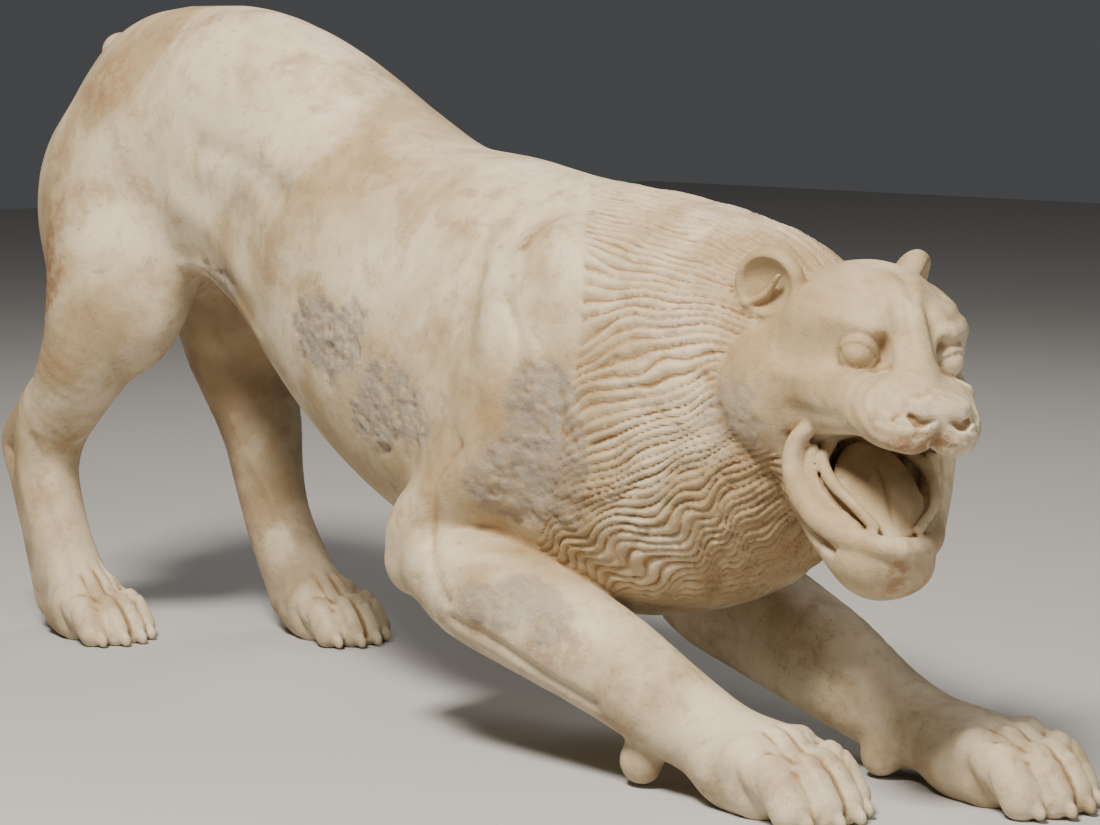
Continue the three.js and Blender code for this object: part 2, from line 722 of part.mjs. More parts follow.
// Thinning: the edge that changes the surface least is drawn together into one vertex, again and again.
// The weight of a place says how much its shape counts.
function thinned({ points, faces }, target, weightAt) {
  const vertexCount = points.length / 3;
  const around = Array.from({ length: vertexCount }, () => []);
  const quadrics = Array.from({ length: vertexCount }, () => new Float64Array(10));
  const version = new Int32Array(vertexCount);
  const alive = new Uint8Array(faces.length / 3).fill(1);
  let remaining = faces.length / 3;
  const EVENNESS = 2e-3; // a little cost for length, which keeps the facets well shaped on plain stretches

  const normalOf = (a, b, c) => {
    const ux = b[0] - a[0];
    const uy = b[1] - a[1];
    const uz = b[2] - a[2];
    const vx = c[0] - a[0];
    const vy = c[1] - a[1];
    const vz = c[2] - a[2];
    return [uy * vz - uz * vy, uz * vx - ux * vz, ux * vy - uy * vx];
  };
  const pointOf = (v) => [points[3 * v], points[3 * v + 1], points[3 * v + 2]];
  const squareBetween = (p, q) => (p[0] - q[0]) ** 2 + (p[1] - q[1]) ** 2 + (p[2] - q[2]) ** 2;

  for (let f = 0; f < alive.length; f += 1) {
    const corners = faces.subarray(3 * f, 3 * f + 3);
    const [a, b, c] = Array.from(corners, pointOf);
    const normal = normalOf(a, b, c);
    const area = Math.hypot(...normal) || 1e-9;
    const [nx, ny, nz] = normal.map((n) => n / area);
    const plane = planeQuadric(nx, ny, nz, -(nx * a[0] + ny * a[1] + nz * a[2]), area * weightAt(...a));
    for (const v of corners) {
      around[v].push(f);
      for (let n = 0; n < 10; n += 1) quadrics[v][n] += plane[n];
    }
  }

  const neighbours = (v) => {
    const found = new Set();
    for (const f of around[v]) for (let n = 0; n < 3; n += 1) found.add(faces[3 * f + n]);
    found.delete(v);
    return found;
  };

  const queue = new CostQueue();
  const offer = (a, b) => {
    const sum = quadrics[a].map((term, n) => term + quadrics[b][n]);
    const [pa, pb] = [pointOf(a), pointOf(b)];
    const span = squareBetween(pa, pb);
    const middle = pa.map((value, n) => (value + pb[n]) / 2);
    let spot = lowestPoint(sum);
    if (!spot || squareBetween(spot, middle) > span) {
      const costAt = (p) => quadricAt(sum, ...p);
      spot = [pa, pb, middle].reduce((best, p) => (costAt(p) < costAt(best) ? p : best));
    }
    const weight = sum[0] + sum[4] + sum[7];
    const cost = Math.max(quadricAt(sum, ...spot), 0) + EVENNESS * weight * span;
    queue.push({ cost, a, b, spot, stamp: version[a] + version[b] });
  };

  for (let v = 0; v < vertexCount; v += 1) for (const other of neighbours(v)) if (v < other) offer(v, other);

  // A move is refused where it would turn a facet over or squeeze it to a sliver.
  const turnsOver = (v, other, spot) =>
    around[v].some((f) => {
      const corners = [faces[3 * f], faces[3 * f + 1], faces[3 * f + 2]];
      if (corners.includes(other)) return false;
      const before = normalOf(...corners.map(pointOf));
      const after = normalOf(...corners.map((corner) => (corner === v ? spot : pointOf(corner))));
      const dot = before[0] * after[0] + before[1] * after[1] + before[2] * after[2];
      return dot < 0.3 * Math.hypot(...before) * Math.hypot(...after) || Math.hypot(...after) < 1;
    });

  while (remaining > target && queue.entries.length) {
    const { a, b, spot, stamp } = queue.pop();
    if (version[a] < 0 || version[b] < 0 || stamp !== version[a] + version[b]) continue;
    const [nearA, nearB] = [neighbours(a), neighbours(b)];
    if (!nearA.has(b)) continue;
    let shared = 0;
    for (const v of nearA) if (nearB.has(v)) shared += 1;
    if (shared !== 2 || turnsOver(a, b, spot) || turnsOver(b, a, spot)) continue;
    for (let n = 0; n < 3; n += 1) points[3 * a + n] = spot[n];
    for (let n = 0; n < 10; n += 1) quadrics[a][n] += quadrics[b][n];
    for (const f of around[b]) {
      const corners = faces.subarray(3 * f, 3 * f + 3);
      if (corners.includes(a)) {
        alive[f] = 0;
        remaining -= 1;
        for (const v of corners) if (v !== b) around[v] = around[v].filter((face) => face !== f);
      } else {
        corners[corners.indexOf(b)] = a;
        around[a].push(f);
      }
    }
    around[b] = [];
    version[b] = -1;
    version[a] += 1;
    for (const v of neighbours(a)) offer(a, v);
  }

  const renamed = new Map();
  const keptPoints = [];
  const keptFaces = [];
  for (let f = 0; f < alive.length; f += 1) {
    if (!alive[f]) continue;
    for (const v of faces.subarray(3 * f, 3 * f + 3)) {
      if (!renamed.has(v)) {
        renamed.set(v, renamed.size);
        keptPoints.push(...pointOf(v));
      }
      keptFaces.push(renamed.get(v));
    }
  }
  return { points: Float64Array.from(keptPoints), faces: Int32Array.from(keptFaces) };
}

// The face, the paws and the mane keep more facets than the plain body.
function importance(x, y, z) {
  const face = 7 * (1 - smoothstep(head(x, y, z), 0, 20));
  const paws = 2 * (1 - smoothstep(z, 70, 110));
  return 1 + face + paws;
}

// The body is cut off level with the ground, so that the four paws stand on flat soles.
const wasm = await Module();
wasm.setup();

const solidOf = (positions, faces) =>
  new wasm.Manifold(new wasm.Mesh({
    numProp: 3,
    vertProperties: Float32Array.from(positions),
    triVerts: Uint32Array.from(faces),
  }));

function groundBlock() {
  const [length, width, depth] = REACH.high.map((high, n) => high - REACH.low[n]);
  const box = new THREE.BoxGeometry(length, width, depth);
  box.deleteAttribute("normal");
  box.deleteAttribute("uv");
  const block = mergeVertices(box.translate(0, 0, -depth / 2));
  return solidOf(block.attributes.position.array, block.index.array);
}

function carvedLion() {
  const grid = sampled(lion, CHISEL_STEP);
  fillPinches(grid);
  const skin = outerSkin(wrapped(grid));
  drawOnto(lion, skin.points);
  const { points, faces } = thinned(skin, FACETS, importance);
  const standing = solidOf(points, faces).subtract(groundBlock()).getMesh();
  const geometry = new THREE.BufferGeometry();
  geometry.setAttribute("position", new THREE.BufferAttribute(new Float32Array(standing.vertProperties), 3));
  geometry.setIndex(new THREE.BufferAttribute(new Uint32Array(standing.triVerts), 1));

  geometry.computeBoundingBox();
  const { min, max } = geometry.boundingBox;
  const scale = LENGTH / (max.x - min.x);
  geometry.translate(-(min.x + max.x) / 2, -(min.y + max.y) / 2, -min.z);
  geometry.scale(scale, scale, scale);
  geometry.computeVertexNormals();
  return geometry;
}

const marble = new THREE.MeshStandardMaterial({ color: 0xcfc0a4, roughness: 0.62, metalness: 0 });
const statue = new THREE.Mesh(carvedLion(), marble);
statue.name = "lion";

const sculpture = new THREE.Group();
sculpture.add(statue);

export default sculpture;
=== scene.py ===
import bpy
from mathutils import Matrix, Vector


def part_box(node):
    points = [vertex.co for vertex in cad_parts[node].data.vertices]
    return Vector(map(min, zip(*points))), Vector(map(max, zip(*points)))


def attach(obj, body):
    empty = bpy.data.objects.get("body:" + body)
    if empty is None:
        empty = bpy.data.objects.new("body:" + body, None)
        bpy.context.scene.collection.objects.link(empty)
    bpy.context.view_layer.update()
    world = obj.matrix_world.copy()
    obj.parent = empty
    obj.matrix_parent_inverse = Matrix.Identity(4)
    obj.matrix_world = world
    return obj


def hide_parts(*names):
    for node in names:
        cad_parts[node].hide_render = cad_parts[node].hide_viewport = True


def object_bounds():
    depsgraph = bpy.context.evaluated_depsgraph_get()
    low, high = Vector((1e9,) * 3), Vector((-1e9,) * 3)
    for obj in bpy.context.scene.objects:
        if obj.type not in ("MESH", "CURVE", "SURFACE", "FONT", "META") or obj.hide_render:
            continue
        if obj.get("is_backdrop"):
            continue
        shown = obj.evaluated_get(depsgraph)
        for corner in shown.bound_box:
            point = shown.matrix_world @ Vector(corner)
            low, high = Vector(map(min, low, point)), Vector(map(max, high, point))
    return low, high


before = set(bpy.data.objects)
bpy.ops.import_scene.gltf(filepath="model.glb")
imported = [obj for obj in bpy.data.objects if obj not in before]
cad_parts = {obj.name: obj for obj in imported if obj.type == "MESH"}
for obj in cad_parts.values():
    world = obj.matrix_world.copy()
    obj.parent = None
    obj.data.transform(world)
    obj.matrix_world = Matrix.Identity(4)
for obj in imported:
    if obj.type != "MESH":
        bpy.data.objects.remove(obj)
cad_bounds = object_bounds()

from concurrent.futures import ThreadPoolExecutor

import bpy
import numpy as np
from mathutils import Matrix, Vector
from mathutils.kdtree import KDTree

# The statue is written in millimetres, for a lion about 1584 long that faces +x with its left side at +y,
# and is placed in the frame's metres at the end. Its proportions and pose are those of the solid.

F = np.float32

SCALE = 1.0101792  # the solid's length over the length that the proportions below give
MIDDLE = np.array((1.5354, -5.0871, 0), F)  # of the box round those proportions, on the ground

# Forms: each takes an array of points and gives distances that are negative inside.


def turned(yaw=0, pitch=0, roll=0):
    """The axes turned by yaw to the left, pitch upwards and roll left side up, in degrees."""
    a, b, c = np.radians([yaw, pitch, roll])
    rz = [[np.cos(a), -np.sin(a), 0], [np.sin(a), np.cos(a), 0], [0, 0, 1]]
    ry = [[np.cos(b), 0, -np.sin(b)], [0, 1, 0], [np.sin(b), 0, np.cos(b)]]
    rx = [[1, 0, 0], [0, np.cos(c), -np.sin(c)], [0, np.sin(c), np.cos(c)]]
    return (np.array(rz) @ np.array(ry) @ np.array(rx)).astype(F)


def length(v):
    return np.sqrt((v * v).sum(1))


def smoothstep(value, low, high):
    t = np.clip((value - low) / (high - low), 0, 1)
    return t * t * (3 - 2 * t)


def egg(rx, ry, rz):
    """An ellipsoid round the origin."""
    radii = np.array([rx, ry, rz], F)

    def form(p):
        a = p / radii
        reach = length(a)
        return reach * (reach - 1) / (length(a / radii) + F(1e-9))

    return form


def placed(form, at, yaw=0, pitch=0, roll=0):
    turn = turned(yaw, pitch, roll)
    place = np.array(at, F)
    return lambda p: form((p - place) @ turn)


def egg_at(x, y, z, rx, ry, rz, yaw=0, pitch=0, roll=0):
    return placed(egg(rx, ry, rz), (x, y, z), yaw, pitch, roll)


def hermite(p1, p2, t1, t2, w):
    return p1 + w * (t1 + w * (-3 * p1 + 3 * p2 - 2 * t1 - t2 + w * (2 * p1 - 2 * p2 + t1 + t2)))


def curve_rings(knots, steps):
    """Points and radii along a centripetal Catmull-Rom curve through the knots."""
    k = np.array(knots, float)
    xyz = np.vstack([2 * k[0, :3] - k[1, :3], k[:, :3], 2 * k[-1, :3] - k[-2, :3]])
    rings = []
    last = len(k) - 1
    for n in range(last * steps + 1):
        i = min(n // steps, last - 1)
        w = n / steps - i
        p0, p1, p2, p3 = xyz[i : i + 4]
        d0, d1, d2 = (np.sqrt(np.linalg.norm(b - a)) for a, b in ((p0, p1), (p1, p2), (p2, p3)))
        t1 = ((p1 - p0) / d0 - (p2 - p0) / (d0 + d1) + (p2 - p1) / d1) * d1
        t2 = ((p2 - p1) / d1 - (p3 - p1) / (d1 + d2) + (p3 - p2) / d2) * d1
        r = k[:, 3]
        s1 = (r[i + 1] - r[max(i - 1, 0)]) / 2
        s2 = (r[min(i + 2, last)] - r[i]) / 2
        rings.append([*hermite(p1, p2, t1, t2, w), hermite(r[i], r[i + 1], s1, s2, w)])
    return np.array(rings, F)


def limb(knots, steps=4):
    """A round tube along a curve, through knots of x, y, z and radius."""
    rings = curve_rings(knots, steps)

    def form(p):
        nearest = np.full(len(p), 1e9, F)
        for a, b in zip(rings[:-1], rings[1:]):
            along = b[:3] - a[:3]
            d = p - a[:3]
            share = np.clip(d @ along / (along @ along), 0, 1)
            gap = length(d - share[:, None] * along) - (a[3] + share * (b[3] - a[3]))
            np.minimum(nearest, gap, out=nearest)
        return nearest

    return form


def sided(form, side):
    """A form written for the left side, put on the right one where side is -1."""
    turn = np.array([1, side, 1], F)
    return lambda p: form(p * turn)


def mirrored(form):
    """A form written for the left side, on both sides."""
    def both(p):
        q = p.copy()
        q[:, 1] = np.abs(q[:, 1])
        return form(q)

    return both


def melt(a, b, band):
    """The nearer of two distances, rounded over where they differ by less than the band."""
    overlap = np.maximum(band - np.abs(a - b), 0) / F(band)
    return np.minimum(a, b) - overlap * overlap * F(band / 4)


def blend(band, *forms):
    """Several forms melted into one."""
    def form(p):
        gap = forms[0](p)
        for other in forms[1:]:
            gap = melt(gap, other(p), band)
        return gap

    return form


def carve(band, form, cut):
    """A form with another cut out of it, its edge rounded."""
    return lambda p: -melt(-form(p), cut(p), band)


def within(centre, reach, form, margin=45):
    """A form that is worked out only near the ball it lies in."""
    place = np.array(centre, F)

    def near(p):
        gap = length(p - place) - F(reach)
        close = gap <= margin
        if close.any():
            gap[close] = form(p[close])
        return gap

    return near


def profile(places, values):
    """A smooth curve through the values at the places."""
    x = np.array(places, float)
    v = np.array(values, float)
    n = len(x)
    before = np.maximum(np.arange(n) - 1, 0)
    after = np.minimum(np.arange(n) + 1, n - 1)
    slopes = (v[after] - v[before]) / (x[after] - x[before])

    def at(place):
        i = np.clip(np.searchsorted(x, place, side="left") - 1, 0, n - 2)
        span = x[i + 1] - x[i]
        t = np.clip((place - x[i]) / span, 0, 1)
        u = 1 - t
        bent = u * u * t * span * slopes[i] - t * t * u * span * slopes[i + 1]
        return (u * u * (1 + 2 * t) * v[i] + t * t * (3 - 2 * t) * v[i + 1] + bent).astype(F)

    return at


# Seeded noise: a lattice of random numbers from -1 to 1, smoothly joined
LATTICE_SIDE = 40
LATTICE = np.random.default_rng(7).random((LATTICE_SIDE,) * 3).astype(F) * 2 - 1


def noise(p, size, shift=0.0):
    """Noise whose lumps are about size across; a shift picks another part of the lattice."""
    q = p / F(size) + F(shift)
    base = np.floor(q)
    w = q - base
    w = w * w * (3 - 2 * w)
    i = base.astype(int)
    lo = i % LATTICE_SIDE
    hi = (i + 1) % LATTICE_SIDE
    total = np.zeros(len(p), F)
    for corner in range(8):
        pick = [hi[:, n] if corner >> n & 1 else lo[:, n] for n in range(3)]
        weight = np.ones(len(p), F)
        for n in range(3):
            weight *= w[:, n] if corner >> n & 1 else 1 - w[:, n]
        total += weight * LATTICE[pick[0], pick[1], pick[2]]
    return total


# Trunk: stations x, back, belly, half width and height of the widest place
TRUNK = np.array(
    [
        (-640, 742, 520, 72, 620),
        (-560, 780, 462, 108, 608),
        (-430, 787, 452, 120, 598),
        (-330, 771, 392, 122, 575),
        (-230, 734, 305, 134, 520),
        (-130, 680, 246, 150, 455),
        (-30, 634, 203, 162, 405),
        (90, 618, 170, 168, 375),
        (200, 600, 150, 168, 362),
        (320, 588, 147, 158, 352),
        (420, 572, 172, 138, 362),
        (500, 548, 216, 112, 378),
        (570, 500, 280, 74, 395),
    ],
    float,
)
back_at, belly_at, half_at, widest_at = (profile(TRUNK[:, 0], TRUNK[:, n]) for n in range(1, 5))
FULLNESS = 2.15  # of the trunk's section, where 2 is an ellipse


def section(p):
    """The trunk's section at each point: clamped place, its middle height, half width and rise."""
    place = np.clip(p[:, 0], TRUNK[0, 0], TRUNK[-1, 0])
    middle = widest_at(place)
    rise = np.where(p[:, 2] > middle, back_at(place) - middle, middle - belly_at(place))
    return place, middle, half_at(place), rise


def trunk(p):
    """The body from rump to chest, rounder above its widest place than below."""
    place, middle, half, rise = section(p)
    a = np.abs(p[:, 1]) / half
    b = np.abs(p[:, 2] - middle) / rise
    n = FULLNESS
    reach = (a**n + b**n) ** (1 / n) + 1e-6
    steep = np.hypot(a ** (n - 1) / half, b ** (n - 1) / rise) / reach ** (n - 1) + 1e-6
    gap = np.maximum((reach - 1) / steep, -60)
    beyond = np.abs(p[:, 0] - place)
    return (np.sqrt(np.maximum(gap, 0) ** 2 + beyond**2) + np.minimum(gap, 0)).astype(F)


TOES = 4


def foot(width, long, height):
    """A foot at the origin of its own frame, toes forwards: a pad, and toes that rise to a knuckle."""
    girth = 0.7 * width / TOES
    toes = []
    for i in range(TOES):
        side = 2 * i / (TOES - 1) - 1
        back = 0.2 * long * side * side
        toe = limb(
            [
                (-0.4 * long - back, side * 0.24 * width, 0.5 * height, girth),
                (0.04 * long - back, side * 0.32 * width, 0.74 * height, girth * 1.04),
                (0.3 * long - back, side * 0.35 * width, 0.62 * height, girth * 0.96),
                (0.5 * long - back, side * 0.365 * width, 0.6 * height, girth * 1.08),
                (0.76 * long - back, side * 0.37 * width, 0.95 * girth, girth * 1.05),
            ],
            3,
        )
        claw = egg_at(0.98 * long - back, side * 0.375 * width, 0.6 * girth, 11, 6, 8, 0, -35)
        toes.append(blend(3, toe, claw))
    pad = egg_at(-0.2 * long, 0, 0.4 * height, 0.8 * long, 0.45 * width, 0.56 * height)
    return blend(10, pad, blend(3.5, *toes))


def hind_leg(side, shank, heel, toes):
    leg = blend(24, limb(shank), limb(heel))
    x, y, splay = toes
    return sided(blend(16, leg, placed(foot(98, 80, 64), (x, y, 0), -splay)), side)


right_hind_leg = within(
    (-660, -100, 250),
    330,
    hind_leg(
        -1,
        [
            (-560, 80, 480, 84),
            (-572, 98, 425, 76),
            (-592, 110, 370, 62),
            (-638, 111, 312, 51),
            (-690, 110, 256, 46),
            (-702, 110, 205, 40),
            (-686, 110, 145, 38),
            (-660, 109, 88, 40),
            (-622, 108, 50, 38),
        ],
        [
            (-686, 110, 300, 26),
            (-742, 110, 256, 28),
            (-768, 110, 229, 22),
            (-744, 110, 180, 23),
            (-712, 109, 110, 26),
            (-682, 108, 40, 30),
        ],
        (-600, 108, 2),
    ),
)
left_hind_leg = within(
    (-540, 100, 250),
    330,
    hind_leg(
        1,
        [
            (-552, 80, 480, 86),
            (-564, 93, 420, 81),
            (-574, 99, 365, 70),
            (-556, 101, 312, 60),
            (-530, 102, 258, 51),
            (-518, 103, 205, 44),
            (-500, 105, 145, 40),
            (-466, 107, 88, 40),
            (-424, 108, 50, 38),
        ],
        [
            (-536, 103, 300, 30),
            (-550, 103, 256, 32),
            (-556, 103, 224, 25),
            (-536, 104, 172, 24),
            (-504, 106, 108, 27),
            (-474, 108, 40, 30),
        ],
        (-396, 108, 2),
    ),
)


def haunch(side, knee_x):
    return blend(
        50,
        egg_at(-572, side * 68, 566, 122, 64, 146, 0, -6),
        egg_at(-622, side * 80, 520, 92, 58, 124, 0, 8),
        egg_at(knee_x, side * 84, 440, 66, 46, 92, 0, -18),
    )


rump = egg_at(-592, 0, 632, 110, 92, 132)
haunches = within((-570, 0, 540), 300, blend(36, rump, haunch(-1, -520), haunch(1, -470)))


def shoulder(side, elbow_x):
    blade = egg_at(262, 104, 432, 92, 58, 122, 0, -8)
    ridge = limb([(268, 96, 534, 22), (232, 124, 500, 22), (206, 141, 440, 23), (196, 146, 360, 26)])
    upper = limb(
        [
            (250, 116, 400, 60),
            (212, 134, 320, 54),
            (elbow_x + 52, 144, 272, 48),
            (elbow_x + 10, 152, 228, 46),
            (elbow_x, 153, 196, 42),
        ]
    )
    return sided(blend(20, blend(24, blade, ridge), upper), side)


shoulders = blend(
    20,
    within((220, -120, 380), 260, shoulder(-1, 100)),
    within((240, 120, 380), 260, shoulder(1, 150)),
)


def fore_leg(side, knots, toes):
    x, y, splay = toes
    heel_pad = egg_at(x - 62, y, 34, 40, 44, 34)
    paw = placed(foot(114, 88, 76), (x, y, 0), -splay)
    return sided(blend(20, blend(20, limb(knots), heel_pad), paw), side)


right_fore_leg = within(
    (330, -120, 110),
    420,
    blend(
        16,
        fore_leg(
            -1,
            [
                (148, 156, 196, 52),
                (192, 150, 178, 61),
                (270, 139, 152, 60),
                (365, 126, 118, 55),
                (446, 114, 80, 48),
                (506, 107, 58, 43),
                (556, 103, 50, 40),
            ],
            (580, 100, 1),
        ),
        egg_at(411, -128, 26, 25, 19, 23),
    ),
)
left_fore_leg = within(
    (450, 110, 90),
    420,
    blend(
        16,
        fore_leg(
            1,
            [
                (196, 146, 186, 54),
                (250, 134, 154, 65),
                (350, 124, 126, 64),
                (440, 116, 98, 58),
                (520, 111, 68, 48),
                (590, 106, 50, 42),
                (650, 102, 46, 41),
            ],
            (700, 100, 1),
        ),
        egg_at(548, 78, 22, 22, 18, 20),
    ),
)

# Head, in its own frame: x out of the nose, y to its left, z up
HEAD_AT = np.array((619, -22, 420), F)
HEAD_TURN = turned(-25, -2, -6)
EYE = 15.5  # the radius of the ball
TEETH = 5  # on each side of the lower jaw

gape_profile = limb([(42, 0, -84, 27), (88, 0, -86, 43), (134, 0, -98, 50), (204, 0, -104, 56)])


def gape(p):
    """The gap between the jaws, the same across the whole width."""
    q = p.copy()
    q[:, 1] = 0
    return gape_profile(q)


def face_side(side, breadth):
    """Cheek, cheekbone and brow of one side. The right side is broader than the left."""
    cheek = egg_at(-66, breadth - 56, -22, 84, 68, 74)
    cheek_bone = limb(
        [
            (-50, breadth - 30, -6, 24),
            (16, breadth - 42, -6, 20),
            (52, 60, -5, 19),
            (80, 44, -1, 17),
            (104, 30, 2, 15),
        ],
        3,
    )
    brow = limb([(-4, breadth - 54, 56, 24), (40, 50, 62, 19), (66, 35, 60, 16)], 3)
    return sided(blend(20, cheek, cheek_bone, brow), side)


def block(rx, ry, rz):
    """A box with well rounded edges."""
    radii = np.array([rx, ry, rz], F)

    def form(p):
        a = np.abs(p) / radii
        reach = (a**4).sum(1) ** F(0.25) + F(1e-6)
        steep = length(a**3 / radii) / reach**3 + F(1e-6)
        return (reach - 1) / steep

    return form


def skull():
    """The head without its lower jaw."""
    cranium = egg_at(-24, 0, 30, 102, 90, 85)
    bridge = limb([(40, 0, 78, 24), (76, 0, 56, 18), (99, 0, 30, 18), (122, 0, 2, 17), (150, 0, -6, 16)])
    upper_lip = limb(
        [
            (6, 54, -30, 20),
            (50, 51, -23, 24),
            (90, 41, -16, 27),
            (126, 30, -23, 27),
            (145, 22, -27, 24),
        ],
        3,
    )
    nose_pad = placed(block(19, 33, 13), (146, 0, -3), 0, -8)
    face = blend(26, cranium, face_side(-1, 118), face_side(1, 104), bridge)
    return blend(7, blend(24, face, mirrored(upper_lip)), nose_pad)


def jaw():
    root = limb([(-40, 0, -84, 56), (30, 0, -134, 40)], 2)
    side = mirrored(limb([(-34, 52, -74, 31), (6, 48, -111, 25), (46, 39, -143, 23), (84, 22, -158, 22)], 3))
    chin = egg_at(70, 0, -160, 42, 44, 39)
    return blend(24, root, side, chin)


LIP = [
    (26, 71, -46, 8),
    (18, 78, -62, 10),
    (18, 78, -84, 11),
    (27, 73, -106, 12),
    (49, 61, -127, 12),
    (82, 44, -138, 12),
    (106, 22, -142, 11),
    (113, 0, -142, 11),
]
RIDGE = [(10, 40, -62, 6), (30, 54, -76, 6), (56, 53, -92, 6), (82, 42, -106, 5), (98, 22, -126, 5)]


def mouth_parts():
    """The lip's band, the gum with its teeth, and the tongue with raised edges and a groove."""
    gum = mirrored(limb([(20, 63, -66, 7), (27, 62, -88, 10), (45, 53, -111, 11), (78, 36, -131, 11)], 3))
    slit = mirrored(limb([(26, 60, -76, 2), (46, 56, -94, 4), (68, 46, -110, 4.5), (86, 30, -122, 3)], 3))
    teeth = []
    for i in range(TEETH):
        share = i / (TEETH - 1)
        teeth.append(mirrored(egg_at(32 + 40 * share, 60 - 17 * share, -88 - 33 * share, 8, 6, 9, 0, -40)))
    tongue = egg_at(54, 0, -109, 74, 45, 17, 0, -42)
    groove = limb([(20, 0, -58, 2), (64, 0, -98, 2.5), (92, 0, -122, 1.5)], 2)
    body = carve(3, blend(5, tongue, mirrored(limb(RIDGE, 3))), groove)
    lined = blend(4, mirrored(limb(LIP, 4)), blend(5, gum, blend(3, *teeth)), body)
    return carve(3, lined, slit)


def ear(side, place):
    """A cup with a thick rim and a fold across its hollow."""
    shell = egg(42, 21, 37)
    hollow = placed(egg(33, 14, 28), (4, 15, 1))
    fold = limb([(-26, 14, -14, 2.5), (-4, 7, -9, 4), (22, 11, 8, 2.5)], 3)
    return sided(placed(blend(5, carve(4, shell, hollow), fold), place, -26, 14, -12), side)


def eyelids(p):
    """Shells over the ball of the eye, each ending at a plane through the corners of the eye."""
    reach = length(p)
    upper = np.maximum(reach - (EYE + 3.5), 0.66 * p[:, 0] - 0.75 * p[:, 2])
    lower = np.maximum(reach - (EYE + 2.5), 0.83 * p[:, 0] + 0.56 * p[:, 2])
    return np.minimum(upper, lower)


def eyes():
    ball = blend(1, egg(EYE, EYE, EYE), eyelids)
    right = sided(placed(ball, (68, 48, 33), 34), -1)
    left = placed(ball, (67, 45, 32), 30)
    return lambda p: np.minimum(right(p), left(p))


def nostrils():
    """What is cut into the nose: two openings, the cleft below them and the furrow round each wing."""
    slit = limb([(169, 9, -13, 3.5), (167, 20, -16, 5), (160, 30, -12, 3)], 3)
    cleft = limb([(172, 0, -16, 1.5), (176, 0, -34, 2), (172, 0, -52, 2)], 2)
    wing = limb([(150, 38, 8, 2.5), (154, 40, -6, 3), (150, 42, -18, 2)], 2)
    return blend(2, mirrored(slit), cleft, mirrored(wing))


def head_form():
    sockets = mirrored(egg_at(92, 58, 36, 22, 24, 17, 34))
    corners = mirrored(egg_at(90, 34, 40, 17, 8, 15, 20))
    throat = egg_at(16, 0, -78, 50, 42, 26)
    furrows = mirrored(limb([(74, 17, 86, 6), (106, 20, 42, 6)], 2))

    def openings(p):
        return np.minimum(gape(p), throat(p))

    solid = carve(6, blend(20, skull(), jaw()), openings)
    faced = carve(7, carve(9, carve(12, solid, sockets), furrows), corners)
    faced = carve(3, faced, nostrils())
    ears = blend(2, ear(-1, (-60, 92, 80)), ear(1, (-92, 68, 88)))
    return blend(3, blend(4, faced, mouth_parts()), eyes(), ears)


head_shape = head_form()
head = within(HEAD_AT, 235, lambda p: head_shape((p - HEAD_AT) @ HEAD_TURN))
tail_stump = limb([(-640, 0, 712, 36), (-680, 0, 730, 25)], 2)


def lion(p):
    body = melt(melt(trunk(p), haunches(p), 40), shoulders(p), 26)
    hind = np.minimum(right_hind_leg(p), left_hind_leg(p))
    fore = np.minimum(right_fore_leg(p), left_fore_leg(p))
    standing = melt(melt(body, hind, 46), fore, 10)
    return melt(melt(standing, head(p), 5), tail_stump(p), 16)


# Surface: the form is sampled on a grid that is halved near the surface, and wrapped in quads.
FIRST_STEP = 24.0
STEP = 3.0
NEAR_STEPS = 1.9  # how many steps of the grid from the surface it is still halved
LOW = np.array((-840, -250, -24), F)
HIGH = np.array((840, 250, 830), F)
CHUNK = 60000  # points in one piece of work
WORKERS = 4


def everywhere(form, points):
    """A form's values at all the points, worked out in pieces side by side."""
    pieces = [points[n : n + CHUNK] for n in range(0, len(points), CHUNK)]
    with ThreadPoolExecutor(WORKERS) as pool:
        return np.concatenate(list(pool.map(form, pieces)))


def sampled(form):
    """The form's values on the finest grid, exact near the surface and rough elsewhere."""
    step = FIRST_STEP
    count = np.ceil((HIGH - LOW) / step).astype(int) + 1
    axes = [LOW[n] + F(step) * np.arange(count[n], dtype=F) for n in range(3)]
    points = np.stack(np.meshgrid(*axes, indexing="ij"), -1).reshape(-1, 3)
    values = everywhere(form, points).reshape(count)
    while step > STEP:
        close = np.abs(values) < NEAR_STEPS * step
        size = [2 * n - 1 for n in values.shape]
        cut = tuple(slice(0, n) for n in size)
        doubled = values.repeat(2, 0).repeat(2, 1).repeat(2, 2)[cut].copy()
        near = close.repeat(2, 0).repeat(2, 1).repeat(2, 2)[cut].copy()
        near[:-1] |= near[1:]
        near[:, :-1] |= near[:, 1:]
        near[:, :, :-1] |= near[:, :, 1:]
        step /= 2
        index = np.argwhere(near)
        doubled[near] = everywhere(form, (LOW + index * F(step)).astype(F))
        values = doubled
    return values, step


